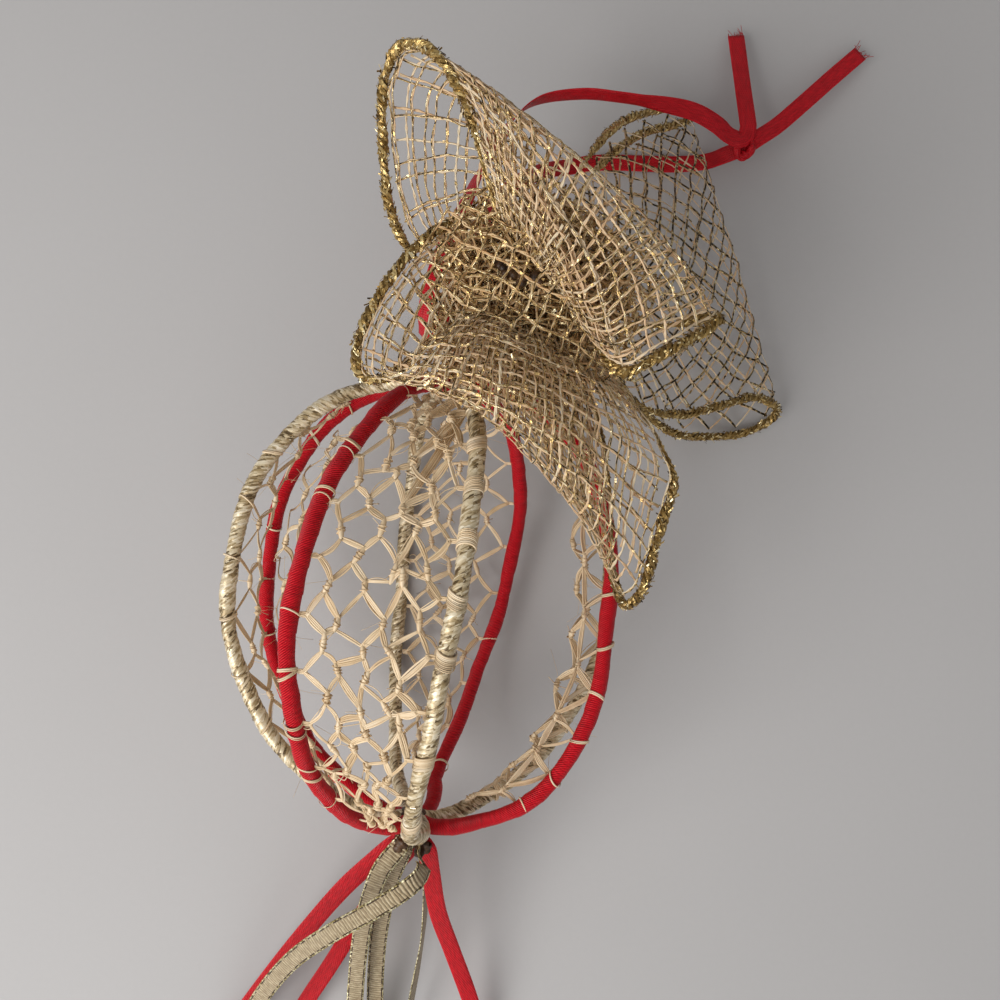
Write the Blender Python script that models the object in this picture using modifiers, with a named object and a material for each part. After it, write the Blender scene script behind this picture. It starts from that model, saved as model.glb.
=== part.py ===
# Straw ornament: a ball of eight thread-wrapped wire ribs with knotted straw nets,
# an open-mesh bow on its top pole, a ribbon hanging loop and loose ribbon tails.
# It lies on the ground plane as it does on a table: Z is up, the ball's long axis
# lies nearly along Y, and the bow is at the +Y end. Sizes below are millimetres.

import math

import bmesh
import bpy
import numpy as np
from mathutils import Vector

MM = 0.001

# Ball
BALL_CENTRE = Vector((-10.75, -16.2, 30.4))
BALL_HALF_LENGTH = 34.85
AXIS_LEAN = math.radians(5.2)
RIB_RADIUS = 1.2
RIB_STEPS = 22
HUB_RADIUS = 2.25
HUB_LENGTH = 4.4
FIT_GAP = 0.3
FAN_START = 11.0

# Each rib: name, angle round the axis in degrees at the top and at the bottom,
# equator radius, fullness above and below the equator, thread
RIBS = (
    ("rib_front_gold", 15.5, 2.0, 30.0, 2.3, 2.2, "gold_thread"),
    ("rib_right_red", 84.0, 84.0, 27.8, 2.4, 2.5, "red_thread"),
    ("rib_lower_right_gold", 107.0, 108.0, 30.4, 2.4, 1.8, "gold_thread"),
    ("rib_back_right_red", 143.5, 168.0, 28.0, 2.3, 1.75, "red_thread"),
    ("rib_back_gold", 196.0, 194.0, 30.2, 3.0, 3.0, "gold_thread"),
    ("rib_back_left_red", 247.0, 245.0, 32.2, 2.3, 1.9, "red_thread"),
    ("rib_left_gold", 277.0, 277.0, 31.6, 2.3, 1.85, "gold_thread"),
    ("rib_front_left_red", 331.0, 326.5, 32.2, 1.9, 2.0, "red_thread"),
)
FAN_PITCH = 45.0
FAN_OFFSET = 17.5

# Nets: name, first rib, second rib, columns, rows, dip towards the axis,
# angle from the poles where the net ends, distance of its first knots from the first rib
NETS = (
    ("net_front", 7, 0, 4, 11, 0.6, 27.0, 0.0),
    ("net_right", 1, 2, 2, 9, 5.5, 30.0, 0.0),
    ("net_back", 3, 4, 3, 7, 0.6, 33.0, 0.0),
    ("net_left", 5, 6, 2, 8, 1.0, 30.0, 0.0),
    ("net_left_inner", 5, 7, 4, 7, 1.5, 42.0, 3.6),
)
NET_STRAND = 1.0
NET_THICKNESS = 0.7

# Bow
BOW_KNOT = Vector((2.95, 30.5, 42.0))
BOW_KNOT_RADIUS = 3.4
GATHER_HALF_WIDTH = 3.2
GATHER_HALF_GAP = 1.3
MESH_THICKNESS = 0.6
MESH_SHARE = 0.95
BRAID_RADIUS = 1.0
BRAID_START = 0.13
LOOP_STEPS = 27
LOOP_COLUMNS = 5

# Ribbons
RIBBON_WIDTH = 3.0
RIBBON_THICKNESS = 0.4
KNOT_CENTRE = Vector((44.4, 64.0, 7.6))
KNOT_RADIUS = 2.3

# The point under the middle of the ball and bow that becomes the part's origin
ORIGIN = Vector((4.943, 9.802, 0.142))

AXIS = Vector((math.sin(AXIS_LEAN), math.cos(AXIS_LEAN), 0.0))
UP = Vector((0.0, 0.0, 1.0))
SIDE = Vector((math.cos(AXIS_LEAN), -math.sin(AXIS_LEAN), 0.0))


# General helpers

def clear_scene():
    for old in list(bpy.data.objects):
        bpy.data.objects.remove(old, do_unlink=True)


def new_collection(name, hidden=False):
    made = bpy.data.collections.new(name)
    bpy.context.scene.collection.children.link(made)
    made.hide_render = hidden
    return made


def make_material(name, colour, roughness, metallic=0.0, sheen=0.0):
    made = bpy.data.materials.new(name)
    made.use_nodes = True
    made.diffuse_color = (*colour, 1.0)
    shader = made.node_tree.nodes["Principled BSDF"]
    shader.inputs["Base Color"].default_value = (*colour, 1.0)
    shader.inputs["Roughness"].default_value = roughness
    shader.inputs["Metallic"].default_value = metallic
    shader.inputs["Sheen Weight"].default_value = sheen
    return made


def smooth_path(points, steps):
    """Points spread evenly along a smooth curve through the given ones."""
    given = np.array([tuple(point) for point in points])
    ends = (2 * given[:1] - given[1:2], 2 * given[-1:] - given[-2:-1])
    padded = np.concatenate((ends[0], given, ends[1]))
    fine = []
    for index in range(len(given) - 1):
        before, start, end, after = padded[index:index + 4]
        for part in np.linspace(0.0, 1.0, 12, endpoint=False):
            bend = 2 * start + (end - before) * part
            bend = bend + (2 * before - 5 * start + 4 * end - after) * part ** 2
            bend = bend + (3 * start - before - 3 * end + after) * part ** 3
            fine.append(bend / 2)
    fine.append(given[-1])
    fine = np.array(fine)
    run = np.concatenate(([0.0], np.cumsum(np.linalg.norm(np.diff(fine, axis=0), axis=1))))
    wanted = np.linspace(0.0, run[-1], steps)
    return [Vector([np.interp(at, run, fine[:, axis]) for axis in range(3)]) for at in wanted]


def place(made, home, material):
    made.location -= ORIGIN * MM
    for user in list(made.users_collection):
        user.objects.unlink(made)
    home.objects.link(made)
    made.data.materials.clear()
    made.data.materials.append(material)
    return made


def wire(name, points, radius, home, material, ends=(1.0, 1.0), sides=1):
    """Round wire through the points, with filled ends of their own thickness."""
    data = bpy.data.curves.new(name, "CURVE")
    data.dimensions = "3D"
    data.bevel_depth = radius * MM
    data.bevel_resolution = sides
    data.use_fill_caps = True
    line = data.splines.new("POLY")
    line.points.add(len(points) - 1)
    for index, point in enumerate(points):
        line.points[index].co = (*(point * MM), 1.0)
        share = index / (len(points) - 1)
        near_start = max(0.0, 1.0 - share * 6.0)
        near_end = max(0.0, 1.0 - (1.0 - share) * 6.0)
        thick = 1.0 + (ends[0] - 1.0) * near_start + (ends[1] - 1.0) * near_end
        line.points[index].radius = thick
    line.use_smooth = True
    made = bpy.data.objects.new(name, data)
    return place(made, home, material)


def mesh_object(name, verts, faces, home, material, smooth=True):
    data = bpy.data.meshes.new(name)
    data.from_pydata([tuple(vert * MM) for vert in verts], [], faces)
    data.validate()
    made = bpy.data.objects.new(name, data)
    place(made, home, material)
    for face in data.polygons:
        face.use_smooth = smooth
    return made


def thicken(made, thickness):
    solid = made.modifiers.new("Thickness", "SOLIDIFY")
    solid.thickness = thickness * MM
    solid.offset = 0.0
    solid.use_even_offset = True
    return made


def strip(name, points, facing, home, material, width=RIBBON_WIDTH):
    """Flat ribbon along the points. facing holds the way its face looks at each end."""
    verts = []
    count = len(points)
    for index, point in enumerate(points):
        ahead = points[min(index + 1, count - 1)] - points[max(index - 1, 0)]
        look = facing[0].lerp(facing[1], index / (count - 1))
        across = ahead.cross(look).normalized()
        verts.append(point - across * width / 2)
        verts.append(point + across * width / 2)
    faces = [(2 * i, 2 * i + 1, 2 * i + 3, 2 * i + 2) for i in range(count - 1)]
    made = mesh_object(name, verts, faces, home, material)
    return thicken(made, RIBBON_THICKNESS)


# Ball ribs

def rib_radius(index, height):
    _, _, _, equator, above, below, _ = RIBS[index]
    fullness = above if height > 0.0 else below
    share = min(1.0, abs(height) / BALL_HALF_LENGTH)
    return equator * (1.0 - share ** fullness) ** (1.0 / fullness)


def rib_angle(index, height, radius):
    """Ribs fan out to an even pitch where they come together at a pole."""
    _, top, bottom, _, _, _, _ = RIBS[index]
    meant = bottom + (top - bottom) * (height / BALL_HALF_LENGTH + 1.0) / 2
    fanned = FAN_OFFSET + FAN_PITCH * index
    near = (FAN_START - radius) / (FAN_START - 4.6)
    return math.radians(meant + (fanned - meant) * min(1.0, max(0.0, near)))


def rib_end_radius():
    return (2 * RIB_RADIUS + FIT_GAP) / (2 * math.sin(math.radians(FAN_PITCH) / 2)) + 0.25


def rib_point(index, angle):
    """Point of a rib. The angle runs from 0 at the top pole to pi at the bottom one."""
    height = BALL_HALF_LENGTH * math.cos(angle)
    radius = rib_radius(index, height)
    turn = rib_angle(index, height, radius)
    out = UP * math.cos(turn) + SIDE * math.sin(turn)
    return BALL_CENTRE + AXIS * height + out * radius


def rib_limit(index, way):
    """Angle at which a rib comes as near to a pole as its neighbours let it."""
    angle = 0.02
    while rib_radius(index, way * BALL_HALF_LENGTH * math.cos(angle)) < rib_end_radius():
        angle += 0.002
    return angle


def rib_path(index):
    start = rib_limit(index, 1.0)
    end = math.pi - rib_limit(index, -1.0)
    return smooth_path([rib_point(index, start + (end - start) * i / 48) for i in range(49)], RIB_STEPS)


def build_ribs(home, looks):
    for index, rib in enumerate(RIBS):
        wire(rib[0], rib_path(index), RIB_RADIUS, home, looks[rib[-1]])


# Straw nets

def net_knot(net, column, row):
    """Knot position: columns run from rib to rib and rows from pole to pole."""
    _, first, second, columns, rows, dip, end, apart = net
    margin = math.radians(end)
    step = (math.pi - 2 * margin) / rows
    angle = margin + step * (row + (0.5 if column % 2 else 0.0))
    left = rib_point(first, angle)
    right = rib_point(second, angle)
    across = right - left
    clear = RIB_RADIUS + FIT_GAP + NET_STRAND * 0.75
    share = column / columns
    inner = clear + apart * (1.0 - share) + (across.length - 2 * clear) * share
    point = left + across.normalized() * inner
    middle = BALL_CENTRE + AXIS * (point - BALL_CENTRE).dot(AXIS)
    inward = (middle - point).normalized()
    return point + inward * dip * (1.0 - share if apart else math.sin(math.pi * share))


def build_net(net, home, material):
    name, _, _, columns, rows, _, _, _ = net
    knots = {}
    for column in range(columns + 1):
        last = rows if column % 2 else rows + 1
        for row in range(last):
            knots[(column, row)] = net_knot(net, column, row)
    links = {key: [] for key in knots}
    for (column, row) in knots:
        if column % 2:
            continue
        for side in (-1, 1):
            for other in ((column + side, row - 1), (column + side, row)):
                if other in knots:
                    links[(column, row)].append(other)
                    links[other].append((column, row))
    verts = []
    faces = []
    corner = {}
    for key, centre in knots.items():
        column, row = key
        joined = links[key]
        along = net_knot(net, column, row + 0.5) - net_knot(net, column, row - 0.5)
        middle = BALL_CENTRE + AXIS * (centre - BALL_CENTRE).dot(AXIS)
        normal = (centre - middle).normalized()
        along = (along - normal * along.dot(normal)).normalized()
        aside = along.cross(normal)
        angles = []
        for other in joined:
            way = knots[other] - centre
            angles.append((math.atan2(way.dot(aside), way.dot(along)), other))
        angles.sort()
        ring = []
        for index, (here, other) in enumerate(angles):
            after, next_other = angles[(index + 1) % len(angles)]
            spread = (after - here) % (2 * math.pi)
            if len(angles) == 1:
                spread = 2 * math.pi
            middle_way = here + spread / 2
            reach = NET_STRAND / 2 / max(0.55, abs(math.sin(spread / 2)))
            flat = along * math.cos(middle_way) + aside * math.sin(middle_way)
            verts.append(centre + flat * reach)
            ring.append(len(verts) - 1)
            corner.setdefault((key, other), [None, None])[1] = len(verts) - 1
            corner.setdefault((key, next_other), [None, None])[0] = len(verts) - 1
        if len(ring) > 2:
            faces.append(tuple(ring))
    for key in knots:
        for other in links[key]:
            if key < other:
                a, b = corner[(key, other)]
                c, d = corner[(other, key)]
                faces.append((b, a, d, c))
    made = mesh_object(name, verts, faces, home, material, smooth=False)
    clean = bmesh.new()
    clean.from_mesh(made.data)
    bmesh.ops.recalc_face_normals(clean, faces=clean.faces)
    clean.to_mesh(made.data)
    clean.free()
    return thicken(made, NET_THICKNESS)


# Bow

def guide_line(out, back, start, end):
    """Fine points of one line of a loop, with the share of the run at each of them.
    The crest, the last point on the way out, is at one half."""
    points = smooth_path((start, *out, *back, end), 121)
    crest = Vector(out[-1])
    middle = min(range(121), key=lambda index: (points[index] - crest).length)
    runs = np.interp(np.arange(121), (0, middle, 120), (0.0, 0.5, 1.0))
    return runs, np.array([tuple(point) for point in points])


class Loop:
    """One bow loop. Its mesh hangs on three lines that leave the bow knot and come back."""

    def __init__(self, name, left, middle, right):
        self.name = name
        crests = [Vector(line[0][-1]) for line in (left, middle, right)]
        out = (crests[1] - BOW_KNOT).normalized()
        across = (crests[2] - crests[0]).normalized()
        down = out.cross(across).normalized()
        if down.z > 0.0:
            down = -down
        self.lines = []
        for side, line in ((-1.0, left), (0.0, middle), (1.0, right)):
            gathered = BOW_KNOT + out * (BOW_KNOT_RADIUS + 0.9) + across * GATHER_HALF_WIDTH * side
            start = gathered + down * GATHER_HALF_GAP
            end = gathered - down * GATHER_HALF_GAP
            self.lines.append(guide_line(line[0], line[1], start, end))

    def point(self, run, side):
        """run goes 0 to 1 out and back, side -1 to 1 across the mesh."""
        left, middle, right = [
            Vector([np.interp(run, runs, fine[:, axis]) for axis in range(3)])
            for runs, fine in self.lines
        ]
        return middle + (right - left) * side / 2 + ((left + right) / 2 - middle) * side * side


# Each loop: its left edge, middle and right edge, each as the points on the way out,
# ending on the crest, and the points on the way back
LOOPS = (
    Loop(
        "bow_loop_upper",
        (
            ((-4.5, 33.2, 40), (-9.4, 35.0, 39.8), (-13.4, 36.7, 40.2), (-16.5, 43.4, 41.5),
             (-17.2, 52.8, 44), (-16.7, 59.9, 46), (-13.6, 62.6, 51)),
            ((-8.7, 59.2, 56), (-4.8, 52.8, 56.5), (-2.3, 44.4, 56), (0.4, 36.7, 51.5)),
        ),
        (
            ((5.7, 35.1, 45.5), (9.1, 39.4, 50.5), (11.5, 41.9, 55), (12.6, 42.7, 58.5)),
            ((11.9, 40.2, 62), (9.5, 36.0, 62), (7.1, 32.7, 57.5)),
        ),
        (
            ((8.6, 26.9, 45.5), (15.4, 24.1, 48.5), (22.9, 24.1, 50), (29.8, 24.8, 52.5)),
            ((26.8, 22.2, 55), (23.0, 20.0, 57), (19.4, 17.9, 57.5), (16.4, 16.8, 56),
             (13.6, 20.0, 53.5), (11.2, 24.9, 50)),
        ),
    ),
    Loop(
        "bow_loop_lower",
        (
            ((-0.4, 34.0, 46), (-4.6, 39.0, 48), (-8.2, 38.0, 49.5), (-13.1, 33.3, 51),
             (-17.0, 27.1, 52.5), (-19.5, 21.1, 52.5), (-19.1, 17.0, 51.5)),
            ((-15.2, 16.7, 53), (-11.9, 19.3, 53.5), (-6.9, 24.1, 51), (-2.1, 27.4, 48)),
        ),
        (
            ((1.4, 22.3, 49), (1.1, 15.7, 52), (1.1, 10.7, 55), (1.4, 7.9, 57.5)),
            ((2.3, 9.6, 60), (2.8, 14.8, 59.5), (3.2, 20.7, 55)),
        ),
        (
            ((9.0, 22.6, 43), (13.9, 13.1, 43.5), (15.8, 4.4, 42.5), (16.5, -5.2, 41),
             (17.1, -11.7, 39), (18.7, -15.8, 40)),
            ((20.8, -13.1, 43.5), (22.2, -7.2, 45.5), (23.9, -1.1, 46.5), (24.8, 2.8, 47),
             (22.2, 9.2, 46.5), (17.2, 17.0, 45), (11.9, 23.9, 44)),
        ),
    ),
    Loop(
        "bow_loop_right",
        (
            ((8.7, 40.8, 33), (13.4, 51.8, 22), (18.7, 60.3, 13), (25.5, 66.8, 7),
             (31.2, 69.4, 4.0), (35.4, 71.2, 3.0)),
            ((32.3, 71.7, 7.0), (27.1, 70.2, 9), (21.5, 66.8, 13), (16.7, 60.9, 18.5),
             (11.3, 51.0, 27), (7.3, 40.5, 36)),
        ),
        (
            ((13.5, 33.1, 30), (23.8, 35.7, 19), (35.1, 39.9, 9.5), (40.6, 42.4, 6.5),
             (42.9, 43.0, 8.5)),
            ((38.5, 41.9, 16), (31.4, 39.3, 24), (22.0, 35.3, 32), (12.7, 32.5, 39)),
        ),
        (
            ((12.0, 24.8, 29), (21.5, 18.1, 17), (31.0, 12.4, 7), (39.2, 11.7, 3.0),
             (47.0, 12.8, 1.6), (51.8, 16.4, 3.2)),
            ((46.1, 18.4, 9.4), (38.9, 16.5, 14), (31.0, 14.6, 17), (23.1, 15.7, 24),
             (14.0, 23.4, 33)),
        ),
    ),
)


def build_loop(loop, home, looks):
    verts = []
    for step in range(LOOP_STEPS + 1):
        for column in range(LOOP_COLUMNS + 1):
            side = -1.0 + 2.0 * column / LOOP_COLUMNS
            verts.append(loop.point(step / LOOP_STEPS, side * MESH_SHARE))
    width = LOOP_COLUMNS + 1
    faces = []
    for step in range(LOOP_STEPS):
        for column in range(LOOP_COLUMNS):
            low = step * width + column
            faces.append((low, low + 1, low + width + 1, low + width))
    made = mesh_object(loop.name, verts, faces, home, looks["gold_mesh"])
    thicken(made, MESH_THICKNESS)
    beside = BRAID_RADIUS + FIT_GAP + MESH_THICKNESS
    for side, tag in ((-1.0, "left"), (1.0, "right")):
        points = []
        for index in range(41):
            run = BRAID_START + (1.0 - 2 * BRAID_START) * index / 40
            edge = loop.point(run, side * MESH_SHARE)
            ahead = loop.point(run + 0.01, side * MESH_SHARE)
            along = (ahead - loop.point(run - 0.01, side * MESH_SHARE)).normalized()
            away = edge - loop.point(run, side * MESH_SHARE * 0.96)
            away = (away - along * away.dot(along)).normalized()
            points.append(edge + away * beside)
        wire(
            loop.name.replace("loop", "braid") + "_" + tag,
            smooth_path(points, 22),
            BRAID_RADIUS,
            home,
            looks["gold_braid"],
        )


def build_bow(home, looks):
    for loop in LOOPS:
        build_loop(loop, home, looks)
    top = BALL_CENTRE + AXIS * (BALL_HALF_LENGTH + HUB_LENGTH / 2 + 3 * FIT_GAP)
    path = smooth_path(
        [top, top + Vector((1.6, 4.2, 2.6)), BOW_KNOT - Vector((2.4, 3.4, 3.4)), BOW_KNOT],
        9,
    )
    wire("bow_neck", path, 1.7, home, looks["brown_glue"], ends=(0.8, 1.7), sides=2)


# Bindings at the poles

def build_hub(name, way, home, material):
    bpy.ops.mesh.primitive_cylinder_add(vertices=14, radius=HUB_RADIUS * MM, depth=HUB_LENGTH * MM)
    made = bpy.context.object
    made.name = name
    made.rotation_mode = "QUATERNION"
    made.rotation_quaternion = AXIS.to_track_quat("Z", "Y")
    made.location = (BALL_CENTRE + AXIS * way * BALL_HALF_LENGTH) * MM
    soft = made.modifiers.new("Rounded", "BEVEL")
    soft.width = 0.7 * MM
    soft.segments = 2
    soft.limit_method = "ANGLE"
    place(made, home, material)
    for face in made.data.polygons:
        face.use_smooth = True


# Ribbons

HANGER_FIRST = (
    (-11.8, 25.3, 33.0), (-11.5, 28.3, 36.0), (-10.2, 33.4, 37.0), (-8.3, 39.0, 36.0),
    (-5.5, 46.0, 33.0), (-2.6, 54.4, 28.0), (1.0, 62.5, 22.0), (6.3, 68.3, 18.0),
    (14.0, 70.1, 16.6), (20.9, 69.6, 16.4), (28.4, 68.9, 15.2), (34.1, 68.2, 13.6),
    (38.4, 66.8, 11.6), (41.4, 65.6, 9.2),
)
HANGER_SECOND = (
    (-9.5, 25.3, 31.0), (-8.3, 29.0, 32.0), (-6.0, 35.8, 30.0), (-3.3, 43.2, 26.0),
    (0.4, 51.6, 19.0), (6.4, 58.2, 11.0), (12.6, 61.6, 4.4), (19.0, 63.4, 1.6),
    (27.4, 63.4, 1.0), (33.0, 63.2, 1.2), (38.2, 63.0, 3.2), (41.2, 63.2, 6.2),
)
TAIL_SHORT = (
    (44.9, 67.2, 8.4), (44.8, 69.2, 8.2), (44.5, 73.9, 7.0), (44.3, 80.3, 4.8), (44.1, 86.7, 2.6),
)
TAIL_LONG = (
    (47.0, 65.8, 7.8), (50.7, 68.4, 7.0), (55.9, 73.0, 6.0), (61.6, 78.3, 4.2), (67.3, 83.4, 2.6),
)
TAILS = (
    ("tail_red_left", "red_satin", (
        (-16.5, -54.6, 29.4), (-19.6, -57.6, 27.4), (-27.1, -66.3, 20.0), (-37.4, -80.2, 11.0),
        (-46.1, -92.6, 5.0), (-53.0, -102.6, 2.2), (-59.2, -111.2, 1.0))),
    ("tail_red_middle", "red_satin", (
        (-14.3, -55.8, 27.0), (-18.4, -62.2, 21.5), (-24.9, -74.0, 13.0), (-30.8, -84.5, 7.4),
        (-36.8, -94.4, 3.6), (-41.7, -103.7, 1.6), (-46.0, -112.4, 0.8))),
    ("tail_gold_upper", "gold_ribbon", (
        (-15.8, -54.2, 33.0), (-19.0, -58.8, 31.0), (-22.0, -67.6, 25.0), (-24.1, -77.0, 18.0),
        (-26.0, -89.3, 10.0), (-27.4, -102.0, 4.2), (-28.2, -114.1, 2.0))),
    ("tail_gold_lower", "gold_ribbon", (
        (-15.1, -54.8, 31.0), (-17.9, -62.0, 25.6), (-20.4, -72.3, 18.4), (-22.0, -82.4, 11.6),
        (-22.9, -92.4, 6.2), (-23.2, -103.3, 2.2), (-23.0, -113.2, 0.8))),
    ("tail_gold_curled", "gold_ribbon", (
        (-12.2, -54.2, 35.5), (-11.6, -55.6, 39.4), (-13.7, -57.4, 41.0), (-18.6, -61.0, 39.6),
        (-26.2, -66.8, 35.0), (-34.0, -74.9, 27.0), (-41.7, -86.4, 17.0), (-47.9, -99.0, 8.0),
        (-52.1, -112.1, 2.2))),
    ("tail_red_right", "red_satin", (
        (-11.6, -55.0, 31.0), (-11.2, -60.3, 27.0), (-10.5, -69.7, 20.0), (-8.5, -79.3, 13.0),
        (-5.8, -90.1, 7.0), (-3.0, -101.7, 2.6), (-0.4, -111.6, 1.0))),
    ("tail_gold_right", "gold_ribbon", (
        (-13.0, -57.6, 25.0), (-12.7, -64.3, 20.0), (-13.4, -74.9, 13.0), (-15.1, -85.4, 7.4),
        (-16.7, -94.2, 4.6), (-18.0, -103.3, 3.0), (-18.9, -112.5, 2.4))),
)
TAIL_FACES = {
    "tail_gold_right": ((1.0, 0.1, 0.2), (0.9, 0.1, 0.5)),
    "tail_gold_curled": ((0.3, -0.5, 0.4), (-0.1, 0.2, 1.0)),
}


def build_ribbons(home, looks):
    red = looks["red_satin"]
    level = (Vector((0.0, 0.0, 1.0)), Vector((0.0, 0.0, 1.0)))
    tilted = (Vector((-0.6, 0.3, 1.0)), Vector((0.0, -0.9, 1.0)))
    strip("hanging_ribbon_upper", smooth_path(HANGER_FIRST, 20), tilted, home, red)
    strip("hanging_ribbon_lower", smooth_path(HANGER_SECOND, 20), level, home, red)
    strip("hanging_tail_short", smooth_path(TAIL_SHORT, 7), level, home, red)
    strip("hanging_tail_long", smooth_path(TAIL_LONG, 7), level, home, red)
    bpy.ops.mesh.primitive_ico_sphere_add(subdivisions=2, radius=KNOT_RADIUS * MM)
    knot = bpy.context.object
    knot.name = "hanging_knot"
    knot.scale = (1.0, 0.9, 0.8)
    knot.location = KNOT_CENTRE * MM
    place(knot, home, red)
    for face in knot.data.polygons:
        face.use_smooth = True
    for name, thread, points in TAILS:
        faces = TAIL_FACES.get(name, ((0.0, 0.0, 1.0), (0.0, 0.0, 1.0)))
        facing = (Vector(faces[0]), Vector(faces[1]))
        strip(name, smooth_path(points, 12), facing, home, looks[thread])


def build():
    clear_scene()
    home = new_collection("straw_ornament")
    looks = {
        "red_thread": make_material("red_thread", (0.50, 0.008, 0.02), 0.5, 0.0, 0.3),
        "gold_thread": make_material("gold_thread", (0.50, 0.44, 0.25), 0.45, 0.5),
        "straw_fibre": make_material("straw_fibre", (0.62, 0.47, 0.27), 0.6),
        "gold_mesh": make_material("gold_mesh", (0.52, 0.43, 0.25), 0.5, 0.2),
        "gold_braid": make_material("gold_braid", (0.40, 0.30, 0.10), 0.4, 0.6),
        "red_satin": make_material("red_satin", (0.55, 0.008, 0.02), 0.35, 0.0, 0.2),
        "gold_ribbon": make_material("gold_ribbon", (0.45, 0.38, 0.20), 0.45, 0.3),
        "brown_glue": make_material("brown_glue", (0.06, 0.03, 0.015), 0.35),
    }
    build_ribs(home, looks)
    for net in NETS:
        build_net(net, home, looks["straw_fibre"])
    build_hub("binding_top", 1.0, home, looks["brown_glue"])
    build_hub("binding_bottom", -1.0, home, looks["brown_glue"])
    build_bow(home, looks)
    build_ribbons(home, looks)


build()
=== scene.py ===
# The straw ornament as the photograph shows it: lying on a pale surface, seen from
# straight above. The shapes follow the same sizes as the part. Sizes here are
# millimetres in the photograph's frame; ORIGIN takes them to the part's frame.

import math
from collections import namedtuple

import bpy
import numpy as np
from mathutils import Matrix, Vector


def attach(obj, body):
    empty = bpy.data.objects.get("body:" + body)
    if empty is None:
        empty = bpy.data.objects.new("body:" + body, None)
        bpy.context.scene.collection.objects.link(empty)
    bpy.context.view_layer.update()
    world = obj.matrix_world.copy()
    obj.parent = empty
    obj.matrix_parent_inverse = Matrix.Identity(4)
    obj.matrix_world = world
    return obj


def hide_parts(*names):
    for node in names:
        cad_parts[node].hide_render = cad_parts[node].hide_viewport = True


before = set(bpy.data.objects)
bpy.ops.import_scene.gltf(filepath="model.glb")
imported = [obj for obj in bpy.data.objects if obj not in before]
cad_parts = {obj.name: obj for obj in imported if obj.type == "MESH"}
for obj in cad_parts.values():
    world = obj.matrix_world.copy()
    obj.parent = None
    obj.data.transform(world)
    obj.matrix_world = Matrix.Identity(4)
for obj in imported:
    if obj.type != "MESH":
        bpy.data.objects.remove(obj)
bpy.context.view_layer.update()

MM = 0.001
FLOOR_CLEARANCE = 0.02 * MM
ORIGIN = np.array((4.943, 9.802, 0.142))
CAMERA_HEIGHT = 186.0
# The width that the camera sees at a distance, as a share of the distance
VIEW_PER_HEIGHT = 1.019
SENSOR_WIDTH = 36.0

# Ball
BALL_CENTRE = np.array((-10.75, -16.2, 30.4))
BALL_HALF_LENGTH = 34.85
AXIS_LEAN = math.radians(5.2)
RIB_RADIUS = 1.2
HUB_RADIUS = 2.25
HUB_LENGTH = 4.4
FIT_GAP = 0.3
FAN_START = 11.0
FAN_END = 4.6
FAN_PITCH = 45.0
FAN_OFFSET = 17.5
# A rib's turn round the axis at the top and bottom pole in degrees, its distance from the
# axis at the equator, and how full its arch is above and below it
Rib = namedtuple("Rib", "name top bottom equator above below slot")
RIBS = (
    Rib("rib_front_gold", 15.5, 2.0, 30.0, 2.3, 2.2, "gold_thread"),
    Rib("rib_right_red", 84.0, 84.0, 27.8, 2.4, 2.5, "red_thread"),
    Rib("rib_lower_right_gold", 107.0, 108.0, 30.4, 2.4, 1.8, "gold_thread"),
    Rib("rib_back_right_red", 143.5, 168.0, 28.0, 2.3, 1.75, "red_thread"),
    Rib("rib_back_gold", 196.0, 194.0, 30.2, 3.0, 3.0, "gold_thread"),
    Rib("rib_back_left_red", 247.0, 245.0, 32.2, 2.3, 1.9, "red_thread"),
    Rib("rib_left_gold", 277.0, 277.0, 31.6, 2.3, 1.85, "gold_thread"),
    Rib("rib_front_left_red", 331.0, 326.5, 32.2, 1.9, 2.0, "red_thread"),
)
# A net's two ribs, its columns and rows of knots, how far it dips inwards, the angle left
# free at each pole in degrees, and how far its first column stands off the first rib
Net = namedtuple("Net", "name first second columns rows dip end apart")
NETS = (
    Net("net_front", 7, 0, 7, 10, 0.6, 27.0, 0.0),
    Net("net_right", 1, 2, 4, 9, 5.5, 30.0, 0.0),
    Net("net_back", 3, 4, 5, 8, 0.6, 33.0, 0.0),
    Net("net_left", 5, 6, 3, 8, 1.0, 30.0, 0.0),
    Net("net_left_inner", 5, 7, 3, 7, 1.5, 42.0, 3.6),
)
NET_STRAND = 1.0

# Bow. A loop's cell is the spacing of its threads; MESH_SHARE is how far the threads go towards its
# mouths
BOW_KNOT = np.array((2.95, 30.5, 42.0))
BOW_KNOT_RADIUS = 3.4
GATHER_HALF_WIDTH = 3.2
GATHER_HALF_GAP = 1.3
MESH_SHARE = 0.95
MESH_CELL = 2.6
LOOP_CELLS = {"bow_loop_upper": 2.3, "bow_loop_lower": 2.1, "bow_loop_right": 3.9}

# Ribbons
RIBBON_WIDTH = 3.0
KNOT_CENTRE = np.array((44.4, 64.0, 7.6))

AXIS = np.array((math.sin(AXIS_LEAN), math.cos(AXIS_LEAN), 0.0))
UP = np.array((0.0, 0.0, 1.0))
SIDE = np.array((math.cos(AXIS_LEAN), -math.sin(AXIS_LEAN), 0.0))

rng = np.random.default_rng(7)


# Vector helpers on arrays of points

def unit(way):
    way = np.asarray(way, dtype=float)
    return way / np.maximum(np.linalg.norm(way, axis=-1, keepdims=True), 1e-9)


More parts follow.
